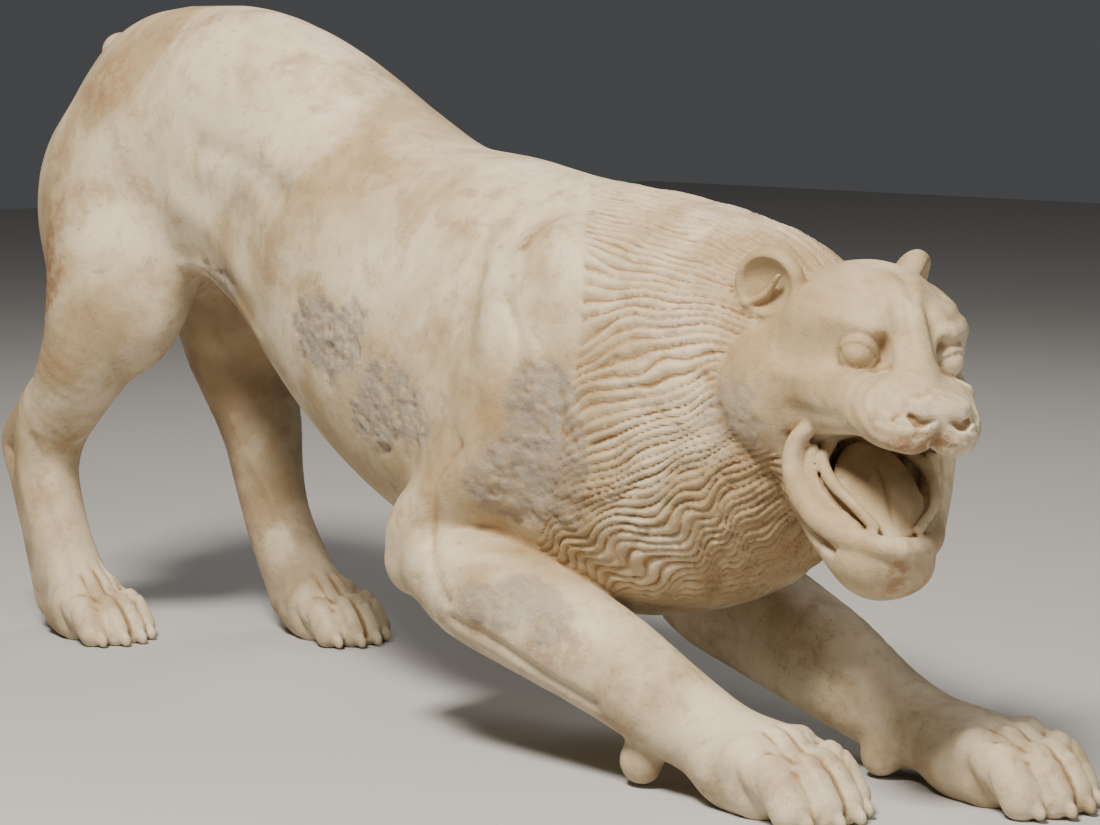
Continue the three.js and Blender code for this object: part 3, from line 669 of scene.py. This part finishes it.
def wrapped(values, step):
    """One point in each cell that the surface crosses, and a quad across each edge that it crosses."""
    inside = values < 0
    nx, ny, nz = values.shape
    cells = np.zeros((nx - 1, ny - 1, nz - 1), np.uint8)
    corners = [(a, b, c) for c in (0, 1) for b in (0, 1) for a in (0, 1)]
    for a, b, c in corners:
        cells += inside[a : nx - 1 + a, b : ny - 1 + b, c : nz - 1 + c]
    found = np.argwhere((cells > 0) & (cells < 8))
    number = np.full(cells.shape, -1, np.int32)
    number[tuple(found.T)] = np.arange(len(found))
    offsets = np.array(corners)
    at = np.stack([values[tuple((found + o).T)] for o in offsets], 1)
    total = np.zeros((len(found), 3), F)
    crossings = np.zeros(len(found), F)
    for a in range(8):
        for axis in range(3):
            if a >> axis & 1:
                continue
            b = a | 1 << axis
            va, vb = at[:, a], at[:, b]
            crossed = (va < 0) != (vb < 0)
            share = np.where(crossed, va / np.where(crossed, va - vb, 1), 0)
            spot = offsets[a] + share[:, None] * (offsets[b] - offsets[a])
            total += np.where(crossed[:, None], spot, 0)
            crossings += crossed
    points = (LOW + step * (found + total / crossings[:, None])).astype(F)
    quads = []
    for axis in range(3):
        lower = [slice(None)] * 3
        upper = [slice(None)] * 3
        lower[axis] = slice(0, -1)
        upper[axis] = slice(1, None)
        edges = np.argwhere(inside[tuple(lower)] != inside[tuple(upper)])
        u, v = (axis + 1) % 3, (axis + 2) % 3
        kept = (edges[:, u] > 0) & (edges[:, v] > 0)
        kept &= (edges[:, u] < values.shape[u] - 1) & (edges[:, v] < values.shape[v] - 1)
        edges = edges[kept]

        def cell(du, dv):
            moved = edges.copy()
            moved[:, u] -= du
            moved[:, v] -= dv
            return number[tuple(moved.T)]

        quad = np.stack([cell(1, 1), cell(0, 1), cell(0, 0), cell(1, 0)], 1)
        turned_in = inside[tuple(edges.T)]
        quads.append(np.where(turned_in[:, None], quad, quad[:, ::-1]))
    return points, np.concatenate(quads)


def outer_skin(points, quads):
    """Only the largest connected skin, with its points renumbered."""
    leader = np.arange(len(points))
    while True:
        before = leader.copy()
        lowest = leader[quads].min(1)
        for n in range(4):
            np.minimum.at(leader, quads[:, n], lowest)
        leader = leader[leader]
        if (leader == before).all():
            break
    names, counts = np.unique(leader, return_counts=True)
    kept = leader == names[counts.argmax()]
    renamed = np.cumsum(kept) - 1
    return points[kept], renamed[quads[kept[quads[:, 0]]]]


def slopes(form, points):
    """The form's values at the points and how steeply they grow along x, y and z."""
    probe = 0.6
    here = everywhere(form, points)
    there = [everywhere(form, points + F(probe) * np.eye(3, dtype=F)[n]) for n in range(3)]
    return here, np.stack([(t - here) / F(probe) for t in there], 1)


def vertex_normals(points, quads):
    """Each point's outward direction, from the quads round it."""
    cross = np.cross(points[quads[:, 2]] - points[quads[:, 0]], points[quads[:, 3]] - points[quads[:, 1]])
    total = np.zeros_like(points)
    for n in range(4):
        for axis in range(3):
            total[:, axis] += np.bincount(quads[:, n], cross[:, axis], len(points))
    return total / (length(total)[:, None] + F(1e-9))


def smoothed(points, quads, rounds):
    """The points averaged over their neighbours along the quads' edges, again and again."""
    flat = points.astype(F)
    count = len(points)
    a = quads.ravel()
    b = np.roll(quads, -1, axis=1).ravel()
    degree = np.bincount(a, minlength=count) + np.bincount(b, minlength=count)
    for _ in range(rounds):
        fresh = np.zeros_like(flat)
        for n in range(flat.shape[1]):
            fresh[:, n] = np.bincount(a, flat[b, n], count) + np.bincount(b, flat[a, n], count)
        flat = fresh / np.maximum(degree, 1)[:, None]
    return flat


# Relief, cut into the surface along its normals

MANE_START = 200  # on the ridge of the back, further forward down the sides
LOCK_WIDTH = 30  # of one lock of the mane, across its strands
LOCK_LENGTH = 96
STRANDS = 60  # rows of strands from the ridge of the back to the middle of the chest
STRAND_LENGTH = 70
NECK_RADIUS = 185
MANE_MIDDLE = 350  # where the rows stand straight, and from where they drift


def mane_edge(p):
    """The place along x where the mane starts, further forward down the sides."""
    return MANE_START + 0.95 * np.minimum(np.abs(p[:, 1]), 160) - 0.3 * np.maximum(450 - p[:, 2], 0)


def mane_share(p, q, head_gap, leg_gap):
    """How much mane there is at the points p, which are q in the head's frame."""
    edge = mane_edge(p)
    jowl = (1 - smoothstep(q[:, 0], -10, 6)) * (1 - smoothstep(q[:, 2] + 0.35 * q[:, 0], -88, -78))
    return (
        smoothstep(p[:, 0], edge, edge + 5)
        * smoothstep(p[:, 2], 160, 200)
        * np.maximum(smoothstep(head_gap, 1, 5), jowl)
        * smoothstep(leg_gap, 3, 12)
    )


def around_at(p):
    """The share of the way round the trunk, 0 on the back and 1 under the belly."""
    _, middle, half, rise = section(p)
    return np.arctan2(np.abs(p[:, 1]) / half, (p[:, 2] - middle) / rise) / np.pi


def lock_height(p, around):
    """Rows of locks, as in the solid."""
    low = smoothstep(around, 0.5, 0.8)
    wave = (0.16 + 0.3 * low) * np.sin(p[:, 0] / LOCK_LENGTH * 2 * np.pi + 9 * around)
    rows = np.pi * NECK_RADIUS / LOCK_WIDTH
    drift = 0.25 * (p[:, 0] - MANE_MIDDLE) / LOCK_WIDTH * smoothstep(around, 0.15, 0.5)
    row = around * rows + drift + wave
    across = row - np.floor(row)
    crest = 1 - np.abs(2 * across - 1) ** 1.6
    share = p[:, 0] / LOCK_LENGTH + 0.5 * np.floor(row) + 0.13 * np.sin(5 * np.floor(row))
    share = share - np.floor(share)
    taper = 0.45 + 0.55 * np.sin(np.pi * share**0.7) ** 0.6
    return crest * taper


def strand_height(p, around):
    """Short wavy strands that lie over each other, finer on top of the neck than on the chest."""
    low = smoothstep(around, 0.5, 0.9)
    rows = STRANDS * (1.12 * around - 0.12 * around**2)
    wander = noise(p * np.array([0.6, 1, 1], F), 70, 3.3)
    ripple = noise(p * np.array([0.8, 0.7, 0.7], F), 26, 8.2)
    rise = 3.6 * np.exp(-((p[:, 0] - mane_edge(p)) / 46.0)) * smoothstep(around, 0.2, 0.45)
    wave = (0.2 + 0.7 * low) * np.sin(p[:, 0] / STRAND_LENGTH * 2 * np.pi + 6 * around + 4.5 * wander)
    drift = 0.014 * (p[:, 0] - MANE_MIDDLE) * smoothstep(around, 0.15, 0.4)
    row = rows + wave + 1.6 * wander + 0.45 * ripple - rise + drift
    line = np.floor(row)
    across = row - line
    start = 7.31 * np.sin(12.9898 * line + 4.1)
    share = (p[:, 0] + 14 * wander) / (STRAND_LENGTH + 14 * np.sin(3.7 * line)) + start
    share = share - np.floor(share)
    breadth = 0.32 + 0.68 * np.sin(np.pi * share**0.75) ** 0.55
    crest = 1 - np.minimum(np.abs(2 * across - 1) / breadth, 1) ** 2.2
    return np.maximum(crest * (0.86 + 0.14 * np.sin(5.1 * line)), 0.12)


def stroke(knots, width, depth):
    """A soft ridge along a curve, or a groove where depth is negative."""
    rings = curve_rings([(*knot, 1) for knot in knots], 4)[:, :3]
    centre = rings.mean(0)
    reach = float(length(rings - centre).max()) + 3 * width

    def cut(p):
        out = np.zeros(len(p), F)
        close = length(p - centre) < reach
        q = p[close]
        gap = np.full(len(q), 1e9, F)
        for a, b in zip(rings[:-1], rings[1:]):
            along = b - a
            d = q - a
            share = np.clip(d @ along / (along @ along), 0, 1)
            np.minimum(gap, length(d - share[:, None] * along), out=gap)
        out[close] = depth * np.exp(-((gap / width) ** 2))
        return out

    return cut


STEP_FOOT = [
    (204, -23, 600),
    (195, -75, 580),
    (170, -101, 563),
    (160, -120, 545),
    (186, -155, 480),
    (196, -172, 418),
]
STEP_TOP = [
    (226, -23, 600),
    (219, -75, 577),
    (196, -103, 561),
    (190, -124, 541),
    (222, -165, 470),
    (232, -178, 400),
]
LIP_INSIDE = [
    (20, 63, -60),
    (24, 64, -84),
    (36, 58, -106),
    (60, 46, -122),
    (90, 28, -132),
    (106, 8, -134),
]
# Strokes of the chisel: the points they pass, their width, and how far they rise or sink
BODY_STROKES = [
    # the step behind the shoulder blade
    (STEP_FOOT, 12, -3.5),
    (STEP_TOP, 15, 3),
    # folds of skin in front of the shoulder
    ([(244, -159, 481), (269, -167, 442), (269, -175, 381), (256, -177, 333)], 7, -3.5),
    ([(247, -141, 530), (285, -162, 453), (320, -160, 400), (326, -158, 356)], 8, -2.5),
    ([(262, -150, 500), (292, -164, 430), (296, -170, 370)], 8, 2.5),
    # elbow
    ([(196, -186, 330), (165, -188, 292), (158, -188, 250), (172, -200, 212), (205, -206, 172)], 8, -6),
    # tendons of the right foreleg
    ([(207, -204, 152), (275, -194, 131), (329, -182, 106), (386, -172, 87)], 8, -5),
    ([(220, -206, 128), (290, -196, 108), (350, -180, 88)], 8, 3),
    # haunch and flank
    ([(-350, -119, 622), (-256, -124, 606), (-171, -132, 570)], 16, -5),
    ([(-400, -112, 560), (-320, -125, 520), (-250, -130, 470)], 20, 4),
    ([(-434, -80, 480), (-360, -98, 474), (-300, -112, 448), (-240, -120, 400)], 9, 5),
    # hocks and cannons
    ([(-523, 51, 271), (-500, 66, 215), (-476, 77, 170), (-431, 81, 94)], 6, 3.5),
    ([(-510, 46, 250), (-490, 60, 190), (-462, 70, 130)], 5, -3),
    ([(-670, -151, 249), (-668, -145, 190), (-653, -135, 142), (-616, -135, 83)], 7, -3.5),
    ([(-700, -140, 240), (-700, -146, 190), (-684, -142, 140)], 7, 2.5),
]
# In the head's frame and on both its sides
HEAD_STROKES = [
    # brow, forehead and the folds between the eye and the nose
    ([(20, 76, 78), (48, 62, 78), (72, 44, 72), (80, 30, 70)], 6, -2.5),
    ([(40, 74, 62), (62, 62, 60), (80, 46, 56)], 6, 1.5),
    ([(10, 44, 110), (46, 34, 102), (72, 20, 92)], 7, -3.5),
    ([(0, 0, 122), (40, 0, 106), (66, 0, 90)], 6, -3.5),
    ([(66, 20, 96), (82, 20, 76), (98, 19, 56)], 3, -3.5),
    ([(-20, 30, 118), (10, 24, 116), (40, 16, 104)], 5, 2.5),
    ([(-30, 52, 108), (4, 50, 104), (34, 46, 92)], 6, -2.5),
    ([(86, 36, 20), (104, 40, 6), (112, 48, -8)], 5, -2.5),
    ([(92, 26, 26), (112, 28, 10), (130, 34, -2)], 4, -2),
    # the cheekbone from the eye to the temple
    ([(84, 66, 14), (62, 82, 8), (36, 92, 4), (0, 100, 2)], 7, 3),
    ([(60, 84, 22), (30, 96, 20), (0, 104, 18)], 9, -3),
    # inside and outside the band of the lower lip
    (LIP_INSIDE, 3.2, -5.5),
    ([(8, 84, -58), (6, 86, -84), (14, 82, -112), (40, 70, -138), (76, 52, -154)], 5, -5),
    # under the cheekbone
    ([(20, 88, -30), (56, 78, -30), (84, 66, -26)], 8, -2.5),
]


WING = np.array((150, 34, 2), F)  # of the nose, in the head's frame
FOLD_GAP = 12
FOLD_WIDTH = 3.2
FOLD_DEPTH = 1.5


def whisker_folds(q):
    """Folds in rings round the wing of the nose, on the side of the muzzle."""
    d = length((q - WING) * np.array((0.9, 1, 1.15), F))
    ring = np.exp(-(((d + 6 * noise(q, 30, 2.7)) % FOLD_GAP - FOLD_GAP / 2) / FOLD_WIDTH) ** 2)
    below = smoothstep(-q[:, 2] + 0.55 * (WING[0] - q[:, 0]), -4, 12)
    return -FOLD_DEPTH * ring * smoothstep(d, 9, 15) * (1 - smoothstep(d, 55, 95)) * below


# Each paw: side, place of its origin, splay, width, length and height of the foot
FEET = [
    (-1, (580, 100), 1, 114, 88, 76),
    (1, (700, 100), 1, 114, 88, 76),
    (-1, (-600, 108), 2, 98, 80, 64),
    (1, (-396, 108), 2, 98, 80, 64),
]
TOE_FURROW = 3.6  # deep, and about as wide
# Swellings and folds along a toe: place and width as shares of the foot's length, and height
KNUCKLES = [(0.08, 0.12, 2.2), (0.27, 0.05, -1.6), (0.48, 0.1, 2.0), (0.68, 0.04, -2.0)]


def toe_lines(p):
    """Furrows between the toes, knuckles, the folds over the joints and the edges of the claws."""
    out = np.zeros(len(p), F)
    for side, (x, y), splay, width, long, height in FEET:
        q = (p * np.array((1, side, 1), F) - np.array((x, y, 0), F)) @ turned(-splay)
        u, v = q[:, 0] / long, q[:, 1] / width
        near = (np.abs(v) < 0.6) & (u > -0.6) & (u < 1.2) & (q[:, 2] < 1.5 * height)
        u, v, z = u[near], v[near], q[near, 2]
        spread = 0.16 + 0.075 * (u + 0.4)
        between = np.abs(np.abs(v) - np.where(np.abs(v) < spread / 2, 0, spread)) * width
        along = u + 0.2 * (v / 0.37) ** 2
        on_toes = smoothstep(along, -0.25, 0.05) * smoothstep(z, 4, 14)
        cut = -TOE_FURROW * np.exp(-((between / 3.4) ** 2)) * on_toes
        for knuckle, wide, rise in KNUCKLES:
            cut += rise * np.exp(-(((along - knuckle) / wide) ** 2)) * smoothstep(between, 2, 7)
        out[near] += cut
    return out


BODY_CUTS = [stroke(*s) for s in BODY_STROKES]
HEAD_CUTS = [stroke(*s) for s in HEAD_STROKES]

# Broken and weathered places: centre, reach and how rough each is
ROUGH = [
    ((-50, -158, 415), (80, 60, 58), 1.0),
    ((60, -166, 365), (88, 60, 66), 1.0),
    ((300, -160, 335), (66, 60, 80), 0.9),
    ((250, -168, 290), (50, 60, 60), 0.8),
    ((300, -190, 176), (90, 40, 34), 0.8),
    ((-250, -126, 585), (95, 50, 40), 0.35),
    ((-335, -96, 462), (70, 40, 26), 0.8),
    ((520, -130, 372), (45, 45, 50), 0.6),
]
# Rusty stains, and darker stone that is painted shade where the legs, paws and chest lie in shade, with some
# aged stone, in the same terms
STAINS = [
    ((-606, -155, 480), (46, 60, 120), 0.9),
    ((-560, -110, 695), (70, 60, 60), 0.5),
    ((241, -129, 541), (20, 20, 14), 1.0),
    ((96, -90, 584), (12, 14, 12), 0.9),
    ((340, -184, 150), (70, 34, 34), 0.5),
    ((-640, -130, 250), (60, 50, 60), 0.4),
    ((-440, -70, 755), (60, 40, 40), 0.4),
]
PAINTED_SHADE_AND_AGE = [
    # painted shade on the far hind leg
    ((-480, 95, 250), (300, 125, 420), 1.0),
    # painted shade on the far foreleg
    ((420, 110, 110), (300, 70, 90), 0.25),
    ((-640, -120, 120), (110, 70, 200), 0.4),
    ((430, -128, 30), (50, 40, 40), 0.7),
    # painted shade under the chest and belly
    ((200, 0, 190), (420, 200, 90), 0.55),
    # painted shade on the near forearm
    ((340, -150, 110), (240, 90, 90), 0.35),
    # painted shade on the far fore paw
    ((700, 100, 30), (110, 80, 50), 0.3),
]
# The same in the head's frame
HEAD_STAINS = [
    ((166, -6, -36), (26, 50, 18), 1.0),
    ((160, -10, 8), (14, 30, 8), 0.5),
    ((110, 0, -170), (20, 14, 24), 0.8),
    ((-80, -108, 10), (30, 30, 14), 0.6),
]
HEAD_PAINTED_SHADE_AND_AGE = [
    # painted shade inside the mouth, under the palate
    ((40, 0, -96), (66, 66, 52), 1.0),
    ((-70, -100, -40), (50, 30, 60), 0.5),
    # painted shade round the inner corners of the eyes
    ((76, 0, 40), (20, 60, 22), 0.4),
]


def spots(p, places, soft):
    """How much the ragged places cover the points; soft is the share of their reach that fades."""
    total = np.zeros(len(p), F)
    ragged = 0.35 * noise(p, 42, 9.1) + 0.22 * noise(p, 15, 4.7)
    for centre, reach, strength in places:
        d = length((p - np.array(centre, F)) / np.array(reach, F)) + ragged
        total = np.maximum(total, strength * (1 - smoothstep(d, 1 - soft, 1)))
    return total


def in_head(p):
    return (p - HEAD_AT) @ HEAD_TURN


LOCK_DEPTH = 2.6
STRAND_DEPTH = 4.4
LEDGE_DEPTH = 2.0
LEDGES = 2.5  # how many from the middle of the noise to its height
CHIP_DEPTH = 2.4


def relief(p, head_gap, leg_gap):
    """Millimetres outwards, and the shares of rough stone, stains, painted shade with some aged stone, and
    the mane's grooves, which are painted as shade, for the colours.
    """
    around = around_at(p)
    q = in_head(p)
    mane = mane_share(p, q, head_gap, leg_gap)
    top = 0.55 + 0.45 * smoothstep(around, 0.05, 0.35)
    strands = strand_height(p, around)
    cut = mane * (LOCK_DEPTH * (lock_height(p, around) - 0.5) + STRAND_DEPTH * top * (strands - 0.6))
    rough = spots(p, ROUGH, 0.3)
    ledges = np.round(LEDGES * noise(p, 17, 1.3)) / LEDGES
    pits = LEDGE_DEPTH * ledges + 2.6 * (0.3 - np.abs(noise(p, 10, 5.9))) + 1.3 * noise(p, 5, 2.1)
    worn = 0.6 * noise(p, 60, 2.2) + 0.3 * noise(p, 22, 6.4)
    height = cut * (1 - 0.6 * rough) + rough * (pits - CHIP_DEPTH) + worn
    for cut_at in BODY_CUTS:
        height += cut_at(p) * (1 - mane)
    height += toe_lines(p)
    folded = q.copy()
    folded[:, 1] = np.abs(folded[:, 1])
    on_head = (1 - smoothstep(head_gap, 1, 6)) * (1 - mane)
    for cut_at in HEAD_CUTS:
        height += cut_at(folded) * on_head
    on_muzzle = np.flatnonzero((q[:, 0] > 40) & (on_head > 0.5) & (q[:, 2] < 30))
    height[on_muzzle] += whisker_folds(folded[on_muzzle])
    stain = np.maximum(spots(p, STAINS, 0.6), spots(q, HEAD_STAINS, 0.5) * on_head)
    # Umber painted shade where the legs, chest and mouth lie in shade, with some aged stone
    painted_shade_and_age = np.maximum(spots(p, PAINTED_SHADE_AND_AGE, 0.8), spots(q, HEAD_PAINTED_SHADE_AND_AGE, 0.6) * on_head)
    # The groove share, the low parts between the mane's strands, is darkened in the marble as painted shade
    shares = {"rough": rough, "stain": stain, "painted_shade_and_age": painted_shade_and_age, "groove": mane * (1 - strands)}
    return height, shares


FLATTEST = 0.3  # the least square of a slope that the surface is moved by
FARTHEST = 1.2  # in steps of the slope, that a point moves to the surface
HOLLOW_ROUNDS = 6  # of smoothing that tell hollows from swellings
INSET = F(2e-5)  # metres that the marble stays inside the solid's box


def carved_lion():
    """The surface in the frame's metres, and what the colours need to know of it."""
    points, quads = outer_skin(*wrapped(*sampled(lion)))
    gap, slope = slopes(lion, points)
    square = np.maximum((slope * slope).sum(1), FLATTEST)
    points = points - np.clip(gap / square, -FARTHEST, FARTHEST)[:, None] * slope
    normals = vertex_normals(points, quads)
    head_gap = everywhere(head, points)
    leg_gap = everywhere(lambda p: np.minimum(right_fore_leg(p), left_fore_leg(p)), points)
    height, layers = relief(points, head_gap, leg_gap)
    points = points + height[:, None] * normals
    normals = vertex_normals(points, quads)
    # How deep each point lies in a hollow, which the marble darkens as painted shade
    soft = smoothed(points, quads, HOLLOW_ROUNDS)
    layers["hollow"] = ((soft - points) * normals).sum(1)
    low, high = (np.array(v, F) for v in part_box("lion"))
    in_frame = (points - MIDDLE) * F(SCALE / 1000)
    return np.clip(in_frame, low + INSET, high - INSET), quads, layers


MOST_TRIANGLES = 196000  # the most triangles that the thinned carving keeps; under the 200000 that one piece may have


def mesh_from(points, quads, name):
    mesh = bpy.data.meshes.new(name)
    mesh.vertices.add(len(points))
    mesh.vertices.foreach_set("co", points.astype(F).ravel())
    mesh.loops.add(4 * len(quads))
    mesh.loops.foreach_set("vertex_index", quads.astype(np.int32).ravel())
    mesh.polygons.add(len(quads))
    mesh.polygons.foreach_set("loop_start", np.arange(0, 4 * len(quads), 4, dtype=np.int32))
    mesh.update(calc_edges=True)
    return mesh


def build_statue():
    """The carving, thinned where it is plain, with each point's shares for the colours."""
    points, quads, layers = carved_lion()
    full = mesh_from(points, quads, "carving")
    carving = bpy.data.objects.new("carving", full)
    bpy.context.scene.collection.objects.link(carving)
    thin = carving.modifiers.new("thin", "DECIMATE")
    thin.ratio = min(1.0, MOST_TRIANGLES / (2 * len(quads)))
    shown = bpy.data.meshes.new_from_object(carving.evaluated_get(bpy.context.evaluated_depsgraph_get()))
    shown.name = "lion_statue"
    bpy.data.objects.remove(carving)
    tree = KDTree(len(points))
    for n, spot in enumerate(points.tolist()):
        tree.insert(spot, n)
    tree.balance()
    nearest = np.array([tree.find(v.co)[1] for v in shown.vertices])
    for name, values in layers.items():
        layer = shown.attributes.new(name, "FLOAT", "POINT")
        layer.data.foreach_set("value", values[nearest].astype(F))
    shown.polygons.foreach_set("use_smooth", np.ones(len(shown.polygons), bool))
    statue = bpy.data.objects.new("lion_statue", shown)
    bpy.context.scene.collection.objects.link(statue)
    return statue


statue = build_statue()
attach(statue, "root")
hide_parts("lion")


# Materials


class Nodes:
    """A material's node tree, with short names for the nodes that are used here."""

    def __init__(self, name):
        self.material = bpy.data.materials.new(name)
        self.material.use_nodes = True
        self.tree = self.material.node_tree
        self.shader = self.tree.nodes["Principled BSDF"]

    def add(self, kind, **inputs):
        node = self.tree.nodes.new(kind)
        for key, value in inputs.items():
            self.put(node.inputs[key.replace("_", " ")], value)
        return node

    def put(self, socket, value):
        if isinstance(value, bpy.types.NodeSocket):
            self.tree.links.new(value, socket)
        else:
            socket.default_value = value

    def noise(self, scale, detail, rough, distortion, coords):
        node = self.add("ShaderNodeTexNoise", Scale=scale, Detail=detail, Vector=coords)
        self.put(node.inputs["Roughness"], rough)
        self.put(node.inputs["Distortion"], distortion)
        return node.outputs["Fac"]

    def math(self, operation, a, b, clamp=False):
        node = self.tree.nodes.new("ShaderNodeMath")
        node.operation = operation
        node.use_clamp = clamp
        self.put(node.inputs[0], a)
        self.put(node.inputs[1], b)
        return node.outputs[0]

    def ramp(self, value, low, high):
        node = self.add("ShaderNodeMapRange", Value=value, From_Min=low, From_Max=high)
        node.interpolation_type = "SMOOTHSTEP"
        return node.outputs["Result"]

    def mix(self, factor, a, b):
        node = self.tree.nodes.new("ShaderNodeMix")
        node.data_type = "RGBA"
        self.put(node.inputs["Factor"], factor)
        self.put(node.inputs["A"], a)
        self.put(node.inputs["B"], b)
        return node.outputs["Result"]

    def attribute(self, name):
        node = self.tree.nodes.new("ShaderNodeAttribute")
        node.attribute_name = name
        return node.outputs["Fac"]


def marble():
    """Cream marble with an ochre patina, grime, stains and grey chipped stone, umber painted shade with some
    aged stone where the legs, chest and mouth lie in shade, and painted shade with some grime in its grooves
    and hollows.
    """
    n = Nodes("marble_carved")
    coords = n.tree.nodes.new("ShaderNodeTexCoord").outputs["Object"]
    cream = (0.40, 0.295, 0.16, 1)
    pale = (0.64, 0.54, 0.37, 1)
    ochre = (0.30, 0.185, 0.08, 1)
    brown = (0.17, 0.085, 0.035, 1)
    rust = (0.25, 0.12, 0.05, 1)
    umber = (0.235, 0.155, 0.08, 1)
    grey = (0.27, 0.235, 0.195, 1)
    broad = n.noise(4.5, 5, 0.6, 0.6, coords)
    middle = n.noise(15.0, 6, 0.62, 0.3, coords)
    fine = n.noise(90.0, 6, 0.7, 0.0, coords)
    rough = n.attribute("rough")
    stain = n.attribute("stain")
    painted_shade_and_age = n.attribute("painted_shade_and_age")
    groove = n.attribute("groove")
    hollow = n.attribute("hollow")
    colour = n.mix(n.ramp(broad, 0.38, 0.62), cream, pale)
    tint = n.math("MULTIPLY", n.ramp(middle, 0.46, 0.70), 0.6)
    colour = n.mix(tint, colour, ochre)
    grime = n.ramp(n.noise(48.0, 8, 0.75, 0.4, coords), 0.50, 0.72)
    colour = n.mix(n.math("MULTIPLY", grime, 0.5), colour, umber)
    # Umber painted shade where the legs, chest and mouth lie in shade, with some aged stone, streaked by
    # noise
    streaky = n.ramp(n.noise(11.0, 6, 0.65, 0.5, coords), 0.25, 0.7)
    darkened = n.math("MULTIPLY", painted_shade_and_age, n.math("ADD", 0.4, n.math("MULTIPLY", streaky, 0.4)))
    colour = n.mix(darkened, colour, umber)
    patchy = n.math("MULTIPLY", stain, n.ramp(n.noise(70.0, 6, 0.75, 0.2, coords), 0.42, 0.54))
    colour = n.mix(n.math("MULTIPLY", stain, 0.25), colour, ochre)
    colour = n.mix(n.math("MULTIPLY", patchy, 0.8), colour, rust)
    specks = n.ramp(n.noise(240.0, 3, 0.5, 0.0, coords), 0.64, 0.74)
    dots = n.math("MULTIPLY", specks, n.ramp(middle, 0.45, 0.62))
    colour = n.mix(n.math("MULTIPLY", dots, 0.7), colour, brown)
    veil = n.ramp(n.noise(60.0, 5, 0.7, 0.0, coords), 0.25, 0.55)
    colour = n.mix(n.math("MULTIPLY", rough, n.math("MULTIPLY", veil, 0.8)), colour, grey)
    # Painted shade with some grime: the mane's grooves and the carving's hollows darkened to ochre, the
    # deepest hollows to brown
    deep = n.math("ADD", n.math("MULTIPLY", groove, 0.6), n.ramp(hollow, 0.3, 2.0))
    colour = n.mix(n.math("MULTIPLY", deep, 0.85, True), colour, ochre)
    colour = n.mix(n.math("MULTIPLY", n.ramp(hollow, 0.7, 3.2), 0.65), colour, brown)
    n.put(n.shader.inputs["Base Color"], colour)
    n.put(n.shader.inputs["Roughness"], n.math("ADD", 0.5, n.math("MULTIPLY", fine, 0.25)))
    n.shader.inputs["Specular IOR Level"].default_value = 0.35
    bump = n.add("ShaderNodeBump", Strength=0.45)
    bump.inputs["Distance"].default_value = 0.0012
    pits = n.math("MULTIPLY", n.ramp(n.noise(420.0, 4, 0.6, 0.0, coords), 0.3, 0.6), 0.4)
    chips = n.math("MULTIPLY", n.math("MULTIPLY", rough, 5.0), n.noise(150.0, 5, 0.75, 0.0, coords))
    grain = n.math("ADD", fine, n.math("ADD", pits, chips))
    n.put(bump.inputs["Height"], n.math("ADD", grain, n.math("MULTIPLY", middle, 0.5)))
    n.put(n.shader.inputs["Normal"], bump.outputs["Normal"])
    return n.material


statue.data.materials.clear()
statue.data.materials.append(marble())

# Stage

FLOOR = 9.0  # from its middle to each edge


def floor_piece():
    mesh = bpy.data.meshes.new("floor")
    corners = [(-FLOOR, -FLOOR, 0), (FLOOR, -FLOOR, 0), (FLOOR, FLOOR, 0), (-FLOOR, FLOOR, 0)]
    mesh.from_pydata(corners, [], [(0, 1, 2, 3)])
    floor = bpy.data.objects.new("floor", mesh)
    bpy.context.scene.collection.objects.link(floor)
    n = Nodes("floor_pale")
    n.shader.inputs["Base Color"].default_value = (0.44, 0.43, 0.415, 1)
    n.shader.inputs["Roughness"].default_value = 0.9
    mesh.materials.append(n.material)
    floor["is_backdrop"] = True


def lamp(name, place, aim, power, size, colour):
    data = bpy.data.lights.new(name, "AREA")
    data.energy = power
    data.size = size
    data.color = colour
    light = bpy.data.objects.new(name, data)
    light.location = place
    light.rotation_euler = (Vector(aim) - Vector(place)).to_track_quat("-Z", "Y").to_euler()
    bpy.context.scene.collection.objects.link(light)


floor_piece()
lamp("key", (1.2, -2.2, 3.6), (0.1, 0, 0.35), 350, 0.9, (1.0, 0.94, 0.86))
lamp("front", (3.6, -1.2, 1.9), (0.5, 0, 0.35), 38, 1.0, (1.0, 0.97, 0.93))
lamp("rim", (-1.4, 2.0, 3.0), (-0.2, 0, 0.5), 34, 1.4, (1.0, 0.98, 0.95))

world = bpy.data.worlds.new("studio")
world.use_nodes = True
world.node_tree.nodes["Background"].inputs["Color"].default_value = (0.80, 0.82, 0.85, 1)
world.node_tree.nodes["Background"].inputs["Strength"].default_value = 0.08
bpy.context.scene.world = world

# Camera at the photograph's angle
AZIMUTH = np.radians(47.9)
ELEVATION = np.radians(7.1)
DISTANCE = 3.0  # to the middle of the picture, before the statue is scaled
AIM = Vector((0.3302, -0.1786, 0.3763))
SENSOR = 36
WIDTHS_AWAY = 3000 / 1100  # the lens's length in widths of the picture
back = Vector((np.sin(AZIMUTH) * np.cos(ELEVATION), -np.cos(AZIMUTH) * np.cos(ELEVATION), np.sin(ELEVATION)))
right = Vector((np.cos(AZIMUTH), np.sin(AZIMUTH), 0))
up = back.cross(right)
eye_point = (AIM + DISTANCE * back - Vector((MIDDLE / 1000).tolist())) * SCALE
lens = bpy.data.cameras.new("camera")
lens.sensor_width = SENSOR
lens.lens = WIDTHS_AWAY * SENSOR
camera = bpy.data.objects.new("camera", lens)
camera.matrix_world = Matrix.Translation(eye_point) @ Matrix((right, up, back)).transposed().to_4x4()
bpy.context.scene.collection.objects.link(camera)
bpy.context.scene.camera = camera

boxes = [[[float(v) for v in corner] for corner in box] for box in (cad_bounds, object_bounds())]
